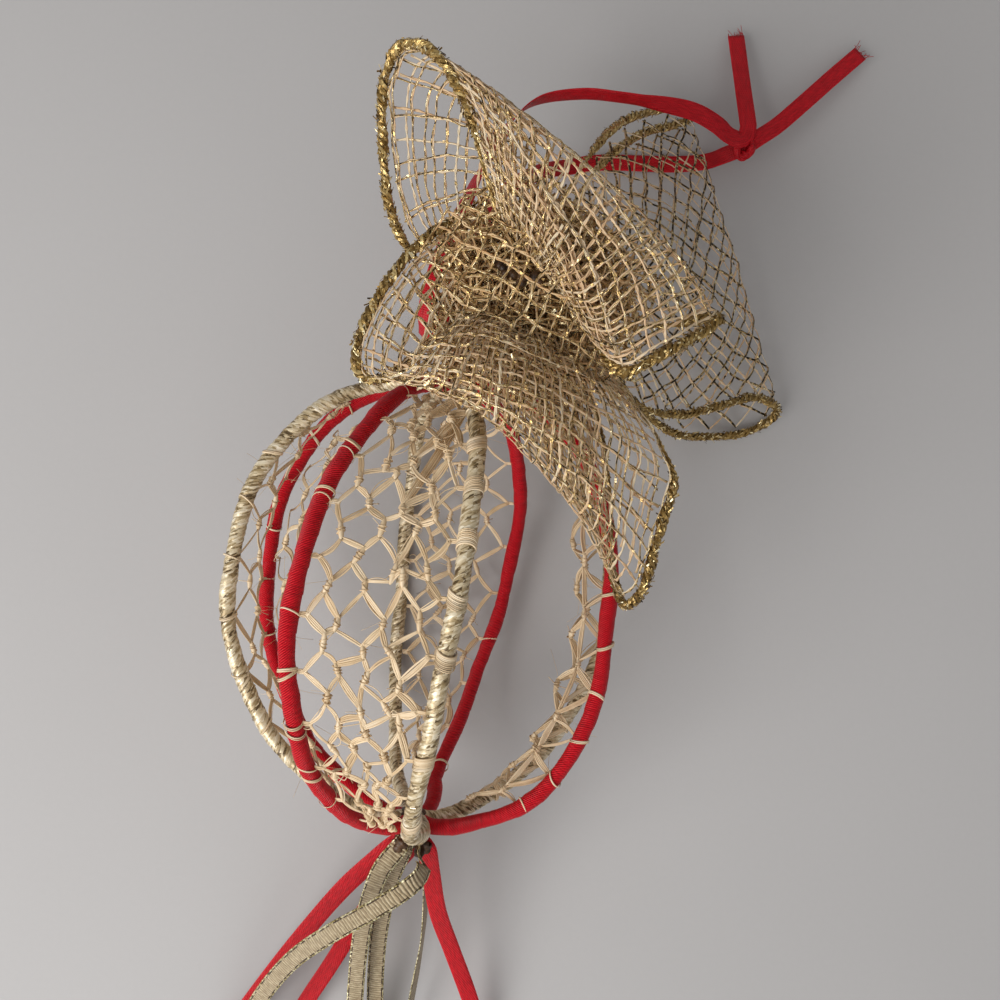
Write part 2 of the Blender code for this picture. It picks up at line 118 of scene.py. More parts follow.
def smooth_path(points, steps):
    """Points spread evenly along a smooth curve through the given ones."""
    given = np.asarray(points, dtype=float)
    padded = np.concatenate((2 * given[:1] - given[1:2], given, 2 * given[-1:] - given[-2:-1]))
    part = np.linspace(0.0, 1.0, 12, endpoint=False)[:, None]
    fine = []
    for index in range(len(given) - 1):
        before, start, end, after = padded[index:index + 4]
        bend = 2 * start + (end - before) * part
        bend = bend + (2 * before - 5 * start + 4 * end - after) * part ** 2
        bend = bend + (3 * start - before - 3 * end + after) * part ** 3
        fine.append(bend / 2)
    fine = np.concatenate(fine + [given[-1:]])
    return respace(fine, steps)


def path_length(points):
    return float(np.linalg.norm(np.diff(points, axis=0), axis=1).sum())


def run_along(points):
    """Length from the first point to each of the points."""
    return np.concatenate(([0.0], np.cumsum(np.linalg.norm(np.diff(points, axis=0), axis=1))))


def respace(points, steps):
    run = run_along(points)
    wanted = np.linspace(0.0, run[-1], steps)
    return np.stack([np.interp(wanted, run, points[:, axis]) for axis in range(3)], axis=1)


def tangents(points):
    return unit(np.gradient(points, axis=0))


def carried_frames(points, hint=None):
    """Across and normal at each point. Without a hint the frame is carried along untwisted."""
    along = tangents(points)
    if hint is not None:
        hint = np.broadcast_to(np.asarray(hint, dtype=float), points.shape)
        across = unit(np.cross(along, hint))
        return across, np.cross(across, along)
    start = UP if abs(along[0][2]) < 0.9 else SIDE
    across = unit(np.cross(along[0], start))
    rows = []
    for way in along:
        across = unit(across - way * across.dot(way))
        rows.append(across)
    across = np.array(rows)
    return across, np.cross(across, along)


def hoop(centre, first, second, count):
    """A closed ring of points. first and second are its half axes, with their lengths."""
    turn = np.linspace(0, 2 * math.pi, count)[:, None]
    return centre + first * np.cos(turn) + second * np.sin(turn)


class Weave:
    """Gathers many strands into one mesh with running coordinates and a value per strand."""

    def __init__(self):
        self.verts = []
        self.faces = []
        self.coords = []
        self.shades = []
        self.count = 0

    def strand(self, points, wide, thick=None, hint=None, sides=5, shade=None, relief=None):
        """Adds one closed strand. wide and thick are half sizes, numbers or one per point."""
        points = np.asarray(points, dtype=float)
        steps = len(points)
        thick = wide if thick is None else thick
        wide = np.broadcast_to(np.asarray(wide, dtype=float), (steps,))[:, None, None]
        thick = np.broadcast_to(np.asarray(thick, dtype=float), (steps,))[:, None, None]
        across, normal = carried_frames(points, hint)
        turn = np.linspace(0.0, 2 * math.pi, sides, endpoint=False)[None, :, None]
        ring = across[:, None] * np.cos(turn) * wide + normal[:, None] * np.sin(turn) * thick
        run = run_along(points)
        depth = None
        if relief is not None:
            depth = relief(run[:, None], turn[..., 0] / (2 * math.pi))
            ring = ring * depth[..., None]
            low, high = np.percentile(depth, (2, 98))
            depth = np.clip((depth - low) / (high - low), 0.0, 1.0)
        self.verts.append((points[:, None] + ring).reshape(-1, 3))
        rows = self.count + np.arange(steps - 1)[:, None] * sides
        low = rows + np.arange(sides)
        after = rows + (np.arange(sides) + 1) % sides
        quads = np.stack((low, after, after + sides, low + sides), axis=-1).reshape(-1, 4)
        self.faces.extend(quads.tolist())
        first = [self.count + i for i in range(sides)][::-1]
        last = [self.count + (steps - 1) * sides + i for i in range(sides)]
        self.faces.extend((first, last))
        u0 = np.repeat(run[:-1], sides)
        u1 = np.repeat(run[1:], sides)
        v0 = np.tile(np.arange(sides) / sides, steps - 1)
        v1 = v0 + 1.0 / sides
        quad_uv = np.stack((u0, v0, u0, v1, u1, v1, u1, v0), axis=-1).reshape(-1, 2)
        caps = np.zeros((2 * sides, 2))
        caps[:sides, 1] = np.arange(sides)[::-1] / sides
        caps[sides:, 1] = np.arange(sides) / sides
        caps[sides:, 0] = run[-1]
        self.coords.append(np.concatenate((quad_uv, caps)))
        shade = rng.random() if shade is None else shade
        tones = np.full((len(quad_uv) + 2 * sides, 2), shade)
        # The relief's depth goes to the strand layer's second channel; the gold thread's material
        # paints shade in the grooves from it
        if depth is not None:
            beside = np.roll(depth, -1, axis=1)
            corners = np.stack((depth[:-1], beside[:-1], beside[1:], depth[1:]), axis=-1)
            tones[:len(quad_uv), 1] = corners.ravel()
        self.shades.append(tones)
        self.count += steps * sides

    def scrap(self, start, tip, half):
        """Adds one thin two-sided scrap of foil, half being half its width."""
        self.verts.append(np.array((start - half, start + half, tip + half, tip - half)))
        self.faces.append([self.count + i for i in range(4)])
        self.coords.append(np.zeros((4, 2)))
        self.shades.append(np.full((4, 2), rng.random()))
        self.count += 4

    def make(self, name, material, smooth=True):
        layers = {"UVMap": np.concatenate(self.coords), "strand": np.concatenate(self.shades)}
        verts = np.concatenate(self.verts)
        return mesh_object(name, verts, self.faces, layers, material, smooth, FLOOR_CLEARANCE)


def mesh_object(name, verts, faces, layers, material, smooth=True, lowest=None):
    """A mesh from points in the photograph's frame, none of them below lowest."""
    verts = (verts - ORIGIN) * MM
    if lowest is not None:
        verts[:, 2] = np.maximum(verts[:, 2], lowest)
    data = bpy.data.meshes.new(name)
    data.from_pydata(verts.tolist(), [], faces)
    for key, values in layers.items():
        layer = data.uv_layers.new(name=key)
        layer.data.foreach_set("uv", values.astype(np.float32).ravel())
    data.polygons.foreach_set("use_smooth", np.full(len(data.polygons), smooth))
    data.materials.append(material)
    made = bpy.data.objects.new(name, data)
    bpy.context.scene.collection.objects.link(made)
    return made


def finish_piece(made, nodes=()):
    if nodes:
        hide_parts(*nodes)
    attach(made, "root")
    return made


# Camera

def add_camera():
    data = bpy.data.cameras.new("camera")
    data.sensor_width = SENSOR_WIDTH
    data.lens = SENSOR_WIDTH / VIEW_PER_HEIGHT
    data.clip_start = 0.005
    made = bpy.data.objects.new("camera", data)
    made.location = (np.array((0.0, 0.0, CAMERA_HEIGHT)) - ORIGIN) * MM
    bpy.context.scene.collection.objects.link(made)
    bpy.context.scene.camera = made


# Node materials

class Signal:
    """A number that a node gives out. Sums and products of signals make maths nodes."""

    def __init__(self, look, socket):
        self.look = look
        self.socket = socket

    def maths(self, operation, *others):
        made = self.look.add("ShaderNodeMath")
        made.operation = operation
        for socket, value in zip(made.inputs, (self, *others)):
            self.look.feed(socket, value)
        return Signal(self.look, made.outputs[0])

    def __add__(self, other):
        return self.maths("ADD", other)

    def __sub__(self, other):
        return self.maths("SUBTRACT", other)

    def __mul__(self, other):
        return self.maths("MULTIPLY", other)

    def __truediv__(self, other):
        return self.maths("DIVIDE", other)

    def over(self, limit):
        return self.maths("GREATER_THAN", limit)

    def under(self, limit):
        return self.maths("LESS_THAN", limit)

    def sine(self):
        return self.maths("SINE")


class Shader:
    """A node material and the few kinds of node that the looks need."""

    def __init__(self, name):
        self.material = bpy.data.materials.new(name)
        self.material.use_nodes = True
        self.nodes = self.material.node_tree.nodes
        self.links = self.material.node_tree.links
        self.surface = self.nodes["Principled BSDF"]

    def add(self, kind):
        return self.nodes.new(kind)

    def feed(self, socket, value):
        """Links a signal to the socket, or sets a number or a colour on it."""
        if isinstance(value, Signal):
            self.links.new(value.socket, socket)
        elif isinstance(value, tuple):
            socket.default_value = (*value, 1.0)
        else:
            socket.default_value = value

    def split(self, kind, source):
        made = self.add(kind)
        self.feed(made.inputs[0], source)
        return Signal(self, made.outputs[0]), Signal(self, made.outputs[1])

    def coords(self, layer="UVMap"):
        """Along in millimetres and around or across as a share, or tone and ridge of a strand."""
        made = self.add("ShaderNodeUVMap")
        made.uv_map = layer
        return self.split("ShaderNodeSeparateXYZ", Signal(self, made.outputs[0]))

    def texture(self, kind, place, **values):
        """A texture at a place: up to three signals or numbers, or the object's own points."""
        made = self.add(kind)
        if place:
            at = self.add("ShaderNodeCombineXYZ")
            for socket, value in zip(at.inputs, place):
                self.feed(socket, value)
            vector = at.outputs[0]
        else:
            vector = self.add("ShaderNodeTexCoord").outputs["Object"]
        self.links.new(vector, made.inputs["Vector"])
        for key, value in values.items():
            made.inputs[key].default_value = value
        return made

    def noise(self, place=(), scale=1.0, detail=3.0, rough=0.5):
        values = {"Scale": scale, "Detail": detail, "Roughness": rough}
        made = self.texture("ShaderNodeTexNoise", place, **values)
        return Signal(self, made.outputs[0])

    def flecks(self, place=(), scale=1.0):
        """Two random numbers, the same all over each fleck."""
        made = self.texture("ShaderNodeTexVoronoi", place, Scale=scale)
        return self.split("ShaderNodeSeparateColor", Signal(self, made.outputs["Color"]))

    def ramp(self, source, stops):
        made = self.add("ShaderNodeValToRGB")
        self.feed(made.inputs[0], source)
        slots = made.color_ramp.elements
        while len(slots) < len(stops):
            slots.new(0.5)
        for slot, (place, colour) in zip(slots, stops):
            slot.position = place
            slot.color = (*colour, 1.0)
        return Signal(self, made.outputs[0])

    def mix(self, share, first, second):
        made = self.add("ShaderNodeMix")
        made.data_type = "RGBA"
        for index, value in ((0, share), (6, first), (7, second)):
            self.feed(made.inputs[index], value)
        return Signal(self, made.outputs[2])

    def bump(self, height, strength, distance):
        made = self.add("ShaderNodeBump")
        made.inputs["Strength"].default_value = strength
        made.inputs["Distance"].default_value = distance
        self.feed(made.inputs["Height"], height)
        self.links.new(made.outputs[0], self.surface.inputs["Normal"])

    def set(self, **values):
        for key, value in values.items():
            self.feed(self.surface.inputs[key.replace("_", " ")], value)

    def translucent(self, colour, share):
        """Lets part of the light through, as thin fibre does."""
        glow = self.add("ShaderNodeBsdfTranslucent")
        self.feed(glow.inputs[0], colour)
        both = self.add("ShaderNodeMixShader")
        both.inputs[0].default_value = share
        self.links.new(self.surface.outputs[0], both.inputs[1])
        self.links.new(glow.outputs[0], both.inputs[2])
        self.links.new(both.outputs[0], self.nodes["Material Output"].inputs[0])


# Windings and weave, in millimetres
RED_PITCH = 0.34
GOLD_PITCH = 1.3
GOLD_STARTS = 3
SATIN_PICK = 0.36
GOLD_PICK = 0.6

# Colours from dark to light, each with its place on a ramp
RED_THREAD = (
    (0.25, (0.13, 0.001, 0.003)), (0.6, (0.52, 0.002, 0.009)), (0.95, (0.82, 0.012, 0.026)),
)
RED_SATIN = ((0.15, (0.24, 0.001, 0.004)), (0.4, (0.54, 0.003, 0.011)), (0.7, (0.76, 0.015, 0.028)))
GOLD_THREAD = (
    (0.03, (0.10, 0.062, 0.022)), (0.22, (0.40, 0.29, 0.14)),
    (0.5, (0.72, 0.60, 0.39)), (0.9, (1.0, 0.93, 0.75)),
)
STRAW = (
    (0.15, (0.46, 0.30, 0.14)), (0.4, (0.78, 0.58, 0.34)),
    (0.7, (0.98, 0.80, 0.54)), (1.0, (1.0, 0.90, 0.72)),
)
MESH_PALE = ((0.15, (0.52, 0.32, 0.14)), (0.5, (0.94, 0.70, 0.43)), (0.85, (1.0, 0.90, 0.68)))
# Darker and warmer than MESH_PALE for the gathered mesh at the bow knot: partly its golden-brown
# colour, partly painted shade of the dense folds
MESH_WARM_SHADED = ((0.15, (0.40, 0.21, 0.07)), (0.5, (0.84, 0.56, 0.27)), (0.85, (1.0, 0.84, 0.54)))
MESH_METAL = ((0.40, (0.05, 0.035, 0.012)), (0.50, (0.74, 0.50, 0.19)), (0.64, (1.0, 0.88, 0.56)))
MESH_DARK = ((0.47, (0.035, 0.024, 0.010)), (0.56, (0.60, 0.42, 0.17)), (0.67, (1.0, 0.88, 0.56)))
BRAID = (
    (0.25, (0.07, 0.038, 0.010)), (0.48, (0.36, 0.23, 0.07)),
    (0.7, (0.82, 0.62, 0.27)), (0.92, (1.0, 0.93, 0.64)),
)
RIBBON_CLOTH = ((0.2, (0.16, 0.10, 0.05)), (0.5, (0.40, 0.31, 0.18)), (0.8, (0.70, 0.60, 0.40)))
RIBBON_TINSEL = ((0.0, (0.06, 0.04, 0.012)), (0.45, (0.50, 0.40, 0.16)), (0.9, (1.0, 0.93, 0.62)))
RIBBON_DASH = (0.05, 0.025, 0.010)
GLUE = ((0.35, (0.012, 0.005, 0.002)), (0.65, (0.10, 0.048, 0.018)))
PAPER = ((0.3, (0.463, 0.456, 0.453)), (0.7, (0.488, 0.481, 0.478)))


def red_thread_material():
    look = Shader("red_thread")
    along, around = look.coords()
    phase = (along / RED_PITCH + around * 15.0).maths("FRACT")
    ridge = (phase * math.pi).sine()
    streak = look.noise((along * 5.0, around * 3.0), 1.0, 4.0)
    colour = look.ramp(streak * 0.9 + ridge * 0.35, RED_THREAD)
    look.set(Base_Color=colour, Roughness=0.38, Specular_IOR_Level=0.25)
    look.bump(ridge * 0.9 + look.noise((), 4200.0, 2.0) * 0.7, 0.9, 0.00016)
    return look.material


def gold_thread_material():
    look = Shader("gold_thread")
    along, around = look.coords()
    _, ridge = look.coords("strand")
    phase = around * GOLD_STARTS + along / GOLD_PITCH
    fleck, height = look.flecks((phase * 4.4, around * 8.0))
    patch = look.noise((), 300.0, 2.0)
    # ridge is the relief's depth: low parts of the winding get a darker gold, painted shade in the
    # grooves between the windings
    value = (fleck - 0.5) * 0.62 + (ridge * 0.42 + (patch * 0.5 - 0.11))
    colour = look.ramp(value, GOLD_THREAD)
    look.set(Base_Color=colour, Roughness=0.36, Metallic=0.25, Specular_IOR_Level=0.6)
    look.bump(height, 0.6, 0.00015)
    return look.material


def straw_material():
    look = Shader("straw_fibre")
    along, around = look.coords()
    tone, _ = look.coords("strand")
    streak = look.noise((along * 0.5, around * 8.0, tone), 1.0, 4.0)
    colour = look.ramp(tone * 0.5 + streak * 0.6, STRAW)
    look.set(Base_Color=colour, Roughness=0.42, Specular_IOR_Level=0.55)
    look.bump(streak, 0.5, 0.0001)
    look.translucent(colour, 0.2)
    return look.material


def mesh_material(name, metal, stops):
    look = Shader(name)
    tone, _ = look.coords("strand")
    along, around = look.coords()
    run = look.noise((along * 1.3, around, tone * 40.0))
    if metal:
        look.set(Base_Color=look.ramp(run, stops), Roughness=0.25, Metallic=0.6)
        look.bump(look.noise((), 2600.0, 2.0), 0.9, 0.0002)
        return look.material
    colour = look.ramp(tone * 0.45 + run * 0.7, stops)
    look.set(Base_Color=colour, Roughness=0.45, Specular_IOR_Level=0.55)
    look.translucent(colour, 0.35)
    return look.material


def braid_material():
    look = Shader("gold_braid")
    tone, _ = look.coords("strand")
    grain = look.noise((), 1800.0)
    look.set(Base_Color=look.ramp(tone * 0.7 + grain * 0.4, BRAID), Roughness=0.27, Metallic=0.6)
    look.bump(grain, 0.7, 0.0002)
    return look.material


def satin_material():
    look = Shader("red_satin")
    along, across = look.coords()
    picks = (along * (2 * math.pi / SATIN_PICK)).sine()
    warp = (along * 5.0 + across * 52.0).sine()
    threads = look.noise((along * 0.5, across * 9.0), 1.0, 4.0, 0.6)
    rim = (across - 0.5).maths("ABSOLUTE").over(0.44)
    value = threads * 0.75 + picks * warp * 0.16 + rim * 0.12
    look.set(Base_Color=look.ramp(value, RED_SATIN), Roughness=0.38, Specular_IOR_Level=0.25)
    look.bump(picks * 0.5 + warp, 0.5, 0.00008)
    return look.material


def gold_ribbon_material():
    """Ribbed cloth with a tinsel edge and a dashed dark thread beside it."""
    look = Shader("gold_ribbon")
    along, across = look.coords()
    drift = look.noise((along * 0.9, across * 1.5), 1.0, 2.0)
    picks = (drift * 7.0 + along * (2 * math.pi / GOLD_PICK)).sine()
    edge = (across - 0.5).maths("ABSOLUTE")
    rim = edge.over(0.42)
    fleck, height = look.flecks((), 3000.0)
    weave = look.noise((along * 1.6, across * 3.0), 1.0, 4.0)
    cloth = look.ramp(picks * 0.12 + (weave * 0.6 + 0.2), RIBBON_CLOTH)
    dash = look.noise((along * 0.8, 3.0), 1.0, 2.0).over(0.47)
    dash = dash * (edge.over(0.36) * edge.under(0.43))
    colour = look.mix(rim, cloth, look.ramp(fleck, RIBBON_TINSEL))
    colour = look.mix(dash, colour, RIBBON_DASH)
    look.set(Base_Color=colour, Roughness=0.42, Metallic=rim * 0.4 + 0.05)
    look.bump(picks + height * 0.6, 0.7, 0.00015)
    return look.material


def glue_material():
    look = Shader("brown_glue")
    grain = look.noise((), 700.0, 4.0)
    look.set(Base_Color=look.ramp(grain, GLUE), Roughness=0.45, Specular_IOR_Level=0.4)
    look.bump(grain, 0.8, 0.0006)
    return look.material


def floor_material():
    look = Shader("pale_surface")
    value = look.noise((), 900.0) * 0.25 + look.noise((), 9.0) * 0.75
    look.set(Base_Color=look.ramp(value, PAPER), Roughness=0.75, Specular_IOR_Level=0.2)
    return look.material


# Ribbons

HANGER_UPPER = (
    (-11.8, 25.3, 33.0), (-11.5, 28.3, 36.0), (-10.2, 33.4, 37.0), (-8.3, 39.0, 36.0),
    (-5.5, 46.0, 33.0), (-2.6, 54.4, 28.0), (1.0, 62.5, 22.0), (6.3, 68.3, 18.0),
    (14.0, 70.1, 16.6), (20.9, 69.6, 16.4), (28.4, 68.9, 15.2), (34.1, 68.2, 13.6),
    (38.4, 66.8, 11.6), (41.4, 65.6, 9.2),
    (43.9, 65.2, 8.6), (44.9, 67.2, 8.4), (44.8, 69.2, 8.2), (44.5, 73.9, 7.0), (44.3, 80.3, 4.8),
    (44.1, 86.7, 2.6),
)
HANGER_LOWER = (
    (-9.5, 25.3, 31.0), (-8.3, 29.0, 32.0), (-6.0, 35.8, 30.0), (-3.3, 43.2, 26.0),
    (0.4, 51.6, 19.0), (6.4, 58.2, 11.0), (12.6, 61.6, 4.4), (19.0, 63.4, 1.6),
    (27.4, 63.4, 1.0), (33.0, 63.2, 1.2), (38.2, 63.0, 3.2), (41.2, 63.2, 6.2), (44.4, 64.2, 7.4),
    (47.0, 65.8, 7.8), (50.7, 68.4, 7.0), (55.9, 73.0, 6.0), (61.6, 78.3, 4.2), (67.3, 83.4, 2.6),
)
TAILS = (
    ("tail_red_left", "red_satin", (
        (-16.5, -54.6, 29.4), (-19.6, -57.6, 27.4), (-27.1, -66.3, 20.0), (-37.4, -80.2, 11.0),
        (-46.1, -92.6, 5.0), (-53.0, -102.6, 2.2), (-59.2, -111.2, 1.0))),
    ("tail_red_middle", "red_satin", (
        (-14.3, -55.8, 27.0), (-18.4, -62.2, 21.5), (-24.9, -74.0, 13.0), (-30.8, -84.5, 7.4),
        (-36.8, -94.4, 3.6), (-41.7, -103.7, 1.6), (-46.0, -112.4, 0.8))),
    ("tail_gold_upper", "gold_ribbon", (
        (-15.8, -54.2, 33.0), (-19.0, -58.8, 31.0), (-22.0, -67.6, 25.0), (-24.1, -77.0, 18.0),
        (-26.0, -89.3, 10.0), (-27.4, -102.0, 4.2), (-28.2, -114.1, 2.0))),
    ("tail_gold_lower", "gold_ribbon", (
        (-15.1, -54.8, 31.0), (-17.9, -62.0, 25.6), (-20.4, -72.3, 18.4), (-22.0, -82.4, 11.6),
        (-22.9, -92.4, 6.2), (-23.2, -103.3, 2.2), (-23.0, -113.2, 0.8))),
    ("tail_gold_curled", "gold_ribbon", (
        (-12.2, -54.2, 35.5), (-11.6, -55.6, 39.4), (-13.7, -57.4, 41.0), (-18.6, -61.0, 39.6),
        (-26.2, -66.8, 35.0), (-34.0, -74.9, 27.0), (-41.7, -86.4, 17.0), (-47.9, -99.0, 8.0),
        (-52.1, -112.1, 2.2))),
    ("tail_red_right", "red_satin", (
        (-11.6, -55.0, 31.0), (-11.2, -60.3, 27.0), (-10.5, -69.7, 20.0), (-8.5, -79.3, 13.0),
        (-5.8, -90.1, 7.0), (-3.0, -101.7, 2.6), (-0.4, -111.6, 1.0))),
    ("tail_gold_right", "gold_ribbon", (
        (-13.0, -57.6, 25.0), (-12.7, -64.3, 20.0), (-13.4, -74.9, 13.0), (-15.1, -85.4, 7.4),
        (-16.7, -94.2, 4.6), (-18.0, -103.3, 3.0), (-18.9, -112.5, 2.4))),
)
# The way a ribbon's face looks at shares of its run
LEVEL = ((0.0, 0.0, 0.0, 1.0), (1.0, 0.0, 0.0, 1.0))
HANGER_FACES = (
    (0.0, -0.6, 0.3, 1.0), (0.14, -0.6, -0.2, 1.0), (0.33, -0.5, -0.9, 0.5), (0.45, 0.0, -1.0, 0.2),
    (0.62, 0.0, -1.0, 0.25), (0.70, 0.0, -0.6, 0.9), (0.78, 0.0, 0.0, 1.0), (1.0, 0.0, 0.0, 1.0),
)
TAIL_FACES = {
    "tail_gold_right": ((0.0, 1.0, 0.1, 0.2), (1.0, 0.9, 0.1, 0.5)),
    "tail_gold_curled": (
        (0.0, 0.2, -0.5, 0.9), (0.12, 0.1, -0.2, 1.0), (0.3, 0.0, 0.1, 1.0), (1.0, -0.1, 0.2, 1.0),
    ),
}
RIBBON_STEP = 0.7
RIBBON_COLUMNS = 7
RIBBON_LIFT = 0.08
FRAY_THREADS = 16


def ribbon_mesh(name, points, facing, material, nodes, pieces=(), start_gathered=False):
    """A flat woven ribbon along the points, slightly cupped, with a frayed free end."""
    steps = int(path_length(np.asarray(points, dtype=float)) / RIBBON_STEP)
    path = smooth_path(points, steps)
    share = np.linspace(0.0, 1.0, steps)
    keys = np.array(facing, dtype=float)
    look = np.stack([np.interp(share, keys[:, 0], keys[:, axis]) for axis in (1, 2, 3)], axis=1)
    across, normal = carried_frames(path, look)
    columns = RIBBON_COLUMNS
    run = run_along(path)
    ripple = 0.12 * np.sin(run * 0.35 + rng.random() * 6)
    wide = RIBBON_WIDTH
    if start_gathered:
        wide = wide * np.clip(0.6 + run / 8, 0.0, 1.0)[:, None]
    verts = []
    for lift in (RIBBON_LIFT, -RIBBON_LIFT):
        for place in np.linspace(-0.5, 0.5, columns):
            cup = 0.35 * (0.25 - place * place) + ripple * place * 0.8
            verts.append(path + across * wide * place + normal * (cup[:, None] + lift))
    grid = np.stack(verts, axis=1)
    width = 2 * columns
    faces = []
    coords = []
    for step in range(steps - 1):
        low = step * width
        high = low + width
        near, far = run[step:step + 2]
        for column in range(columns - 1):
            v0 = column / (columns - 1)
            v1 = (column + 1) / (columns - 1)
            faces.append((low + column, high + column, high + column + 1, low + column + 1))
            coords.extend(((near, v0), (far, v0), (far, v1), (near, v1)))
            back = columns + column
            faces.append((low + back, low + back + 1, high + back + 1, high + back))
            coords.extend(((near, v0), (near, v1), (far, v1), (far, v0)))
        for column, way in ((0, -1), (columns - 1, 1)):
            quad = (low + column, high + column, high + column + columns, low + column + columns)
            faces.append(quad[::way])
            v = column / (columns - 1)
            coords.extend(((near, v), (far, v), (far, v), (near, v))[::way])
    for step in (0, steps - 1):
        low = step * width
        ring = [low + i for i in (*range(columns), *range(width - 1, columns - 1, -1))]
        faces.append(ring if step == 0 else ring[::-1])
        coords.extend([(run[step], 0.5)] * width)
    made = mesh_object(name, grid.reshape(-1, 3), faces, {"UVMap": np.array(coords)}, material)
    finish_piece(made, nodes)
    fray = Weave()
    for _ in range(FRAY_THREADS):
        place = rng.uniform(-0.5, 0.5)
        start = path[-1] + across[-1] * RIBBON_WIDTH * place
        way = unit(tangents(path)[-1] + rng.normal(0, 0.35, 3))
        reach = rng.uniform(0.5, 1.9)
        bend = rng.normal(0, 0.25, 3)
        line = [start + way * reach * t + bend * t * t for t in np.linspace(0, 1, 6)]
        line = [np.array((p[0], p[1], max(p[2], 0.3))) for p in line]
        fray.strand(line, 0.05, sides=4)
    extra = [*pieces, finish_piece(fray.make(name + "_fray", material))]
    return made


def knot_piece(material):
    """The tight overhand knot of the hanging loop: ribbon wound round itself."""
    wound = Weave()
    for index in range(4):
        tilt = (index - 1.5) * 0.5
        ring = []
        for turn in np.linspace(0, 2 * math.pi, 25):
            spot = np.array((
                math.cos(turn) * 1.25 * math.cos(tilt) + (index - 1.5) * 0.35,
                math.sin(turn) * 1.35 + (index - 1.5) * 0.2,
                math.cos(turn) * 1.1 * math.sin(tilt) + math.sin(turn + index) * 0.4,
            ))
            ring.append(KNOT_CENTRE + spot)
        wound.strand(ring, 0.75, 0.3, hint=UP + np.array((0.3 * index, 0.2, 0.0)), sides=8)
    made = wound.make("ribbon_knot", material)
    return finish_piece(made, ("hanging_knot",))


def make_ribbons(satin, gold):
    ribbon_mesh(
        "hanging_ribbon_one", HANGER_UPPER, HANGER_FACES, satin,
        ("hanging_ribbon_upper", "hanging_tail_short"), (knot_piece(satin),),
    )
    ribbon_mesh(
        "hanging_ribbon_two", HANGER_LOWER, LEVEL, satin,
        ("hanging_ribbon_lower", "hanging_tail_long"),
    )
    # Each tail starts inside the lower binding, one point before its route in the part
    pole = BALL_CENTRE - AXIS * (BALL_HALF_LENGTH + 0.8)
    for name, slot, points in TAILS:
        facing = TAIL_FACES.get(name, LEVEL)
        points = (tuple(pole + (np.array(points[0]) - pole) * 0.3),) + points
        material = satin if slot == "red_satin" else gold
        ribbon_mesh(name + "_ribbon", points, facing, material, (name,), (), True)


# Ball ribs

def on_axis(point):
    """The point of the ball's axis that is nearest."""
    return BALL_CENTRE + AXIS * (point - BALL_CENTRE).dot(AXIS)


def rib_radius(index, height):
    rib = RIBS[index]
    fullness = rib.above if height > 0.0 else rib.below
    share = min(1.0, abs(height) / BALL_HALF_LENGTH)
    return rib.equator * (1.0 - share ** fullness) ** (1.0 / fullness)


def rib_angle(index, height, radius):
    """Ribs fan out to an even pitch where they come together at a pole."""
    rib = RIBS[index]
    meant = rib.bottom + (rib.top - rib.bottom) * (height / BALL_HALF_LENGTH + 1.0) / 2
    fanned = FAN_OFFSET + FAN_PITCH * index
    near = (FAN_START - radius) / (FAN_START - FAN_END)
    return math.radians(meant + (fanned - meant) * min(1.0, max(0.0, near)))


def rib_end_radius():
    return (2 * RIB_RADIUS + FIT_GAP) / (2 * math.sin(math.radians(FAN_PITCH) / 2)) + 0.25


def outward(turn):
    """Away from the ball's axis, turned from the top of the lying ball towards SIDE."""
    return UP * math.cos(turn) + SIDE * math.sin(turn)


def rib_point(index, angle):
    """Point of a rib. The angle runs from 0 at the top pole to pi at the bottom one."""
    height = BALL_HALF_LENGTH * math.cos(angle)
    radius = rib_radius(index, height)
    out = outward(rib_angle(index, height, radius))
    return BALL_CENTRE + AXIS * height + out * radius


def rib_limit(index, way):
    """Angle at which a rib comes as near to a pole as its neighbours let it."""
    angle = 0.02
    while rib_radius(index, way * BALL_HALF_LENGTH * math.cos(angle)) < rib_end_radius():
        angle += 0.002
    return angle


def rib_path(index, steps):
    start = rib_limit(index, 1.0)
    end = math.pi - rib_limit(index, -1.0)
    line = [rib_point(index, start + (end - start) * i / 48) for i in range(49)]
    for place, way in ((0, 1.0), (-1, -1.0)):
        pole = on_axis(line[place])
        inner = pole + unit(line[place] - pole) * 1.4 - AXIS * way * 0.2
        line.insert(0 if place == 0 else len(line), inner)
    return smooth_path(line, steps)


def wound_relief(pitch, starts, depth, power, lap):
    """Strands wound side by side round a wire, a little uneven along it. lap is the
    length over which the winding laps over itself like a wrapped ribbon."""
    offsets = rng.random(4) * 6

    def relief(run, around):
        drift = 0.5 * np.sin(run * 0.31 + offsets[0]) + 0.35 * np.sin(run * 0.83 + offsets[1])
        phase = (run / pitch + around * starts + drift * 0.8) % 1.0
        ridge = np.sin(phase * math.pi) ** power
        fold = (run / lap + around + drift * 0.3) % 1.0
        swell = 0.03 * np.sin(run * 0.55 + offsets[2]) + 0.02 * np.sin(run * 1.7 + around * 6.28)
        return 1.0 - depth + depth * ridge + swell + 0.07 * (fold - 0.5)

    return relief


RIB_SIDES = 16
RED_STEP = 0.21
GOLD_STEP = 0.18
FOIL_SCRAPS = 600


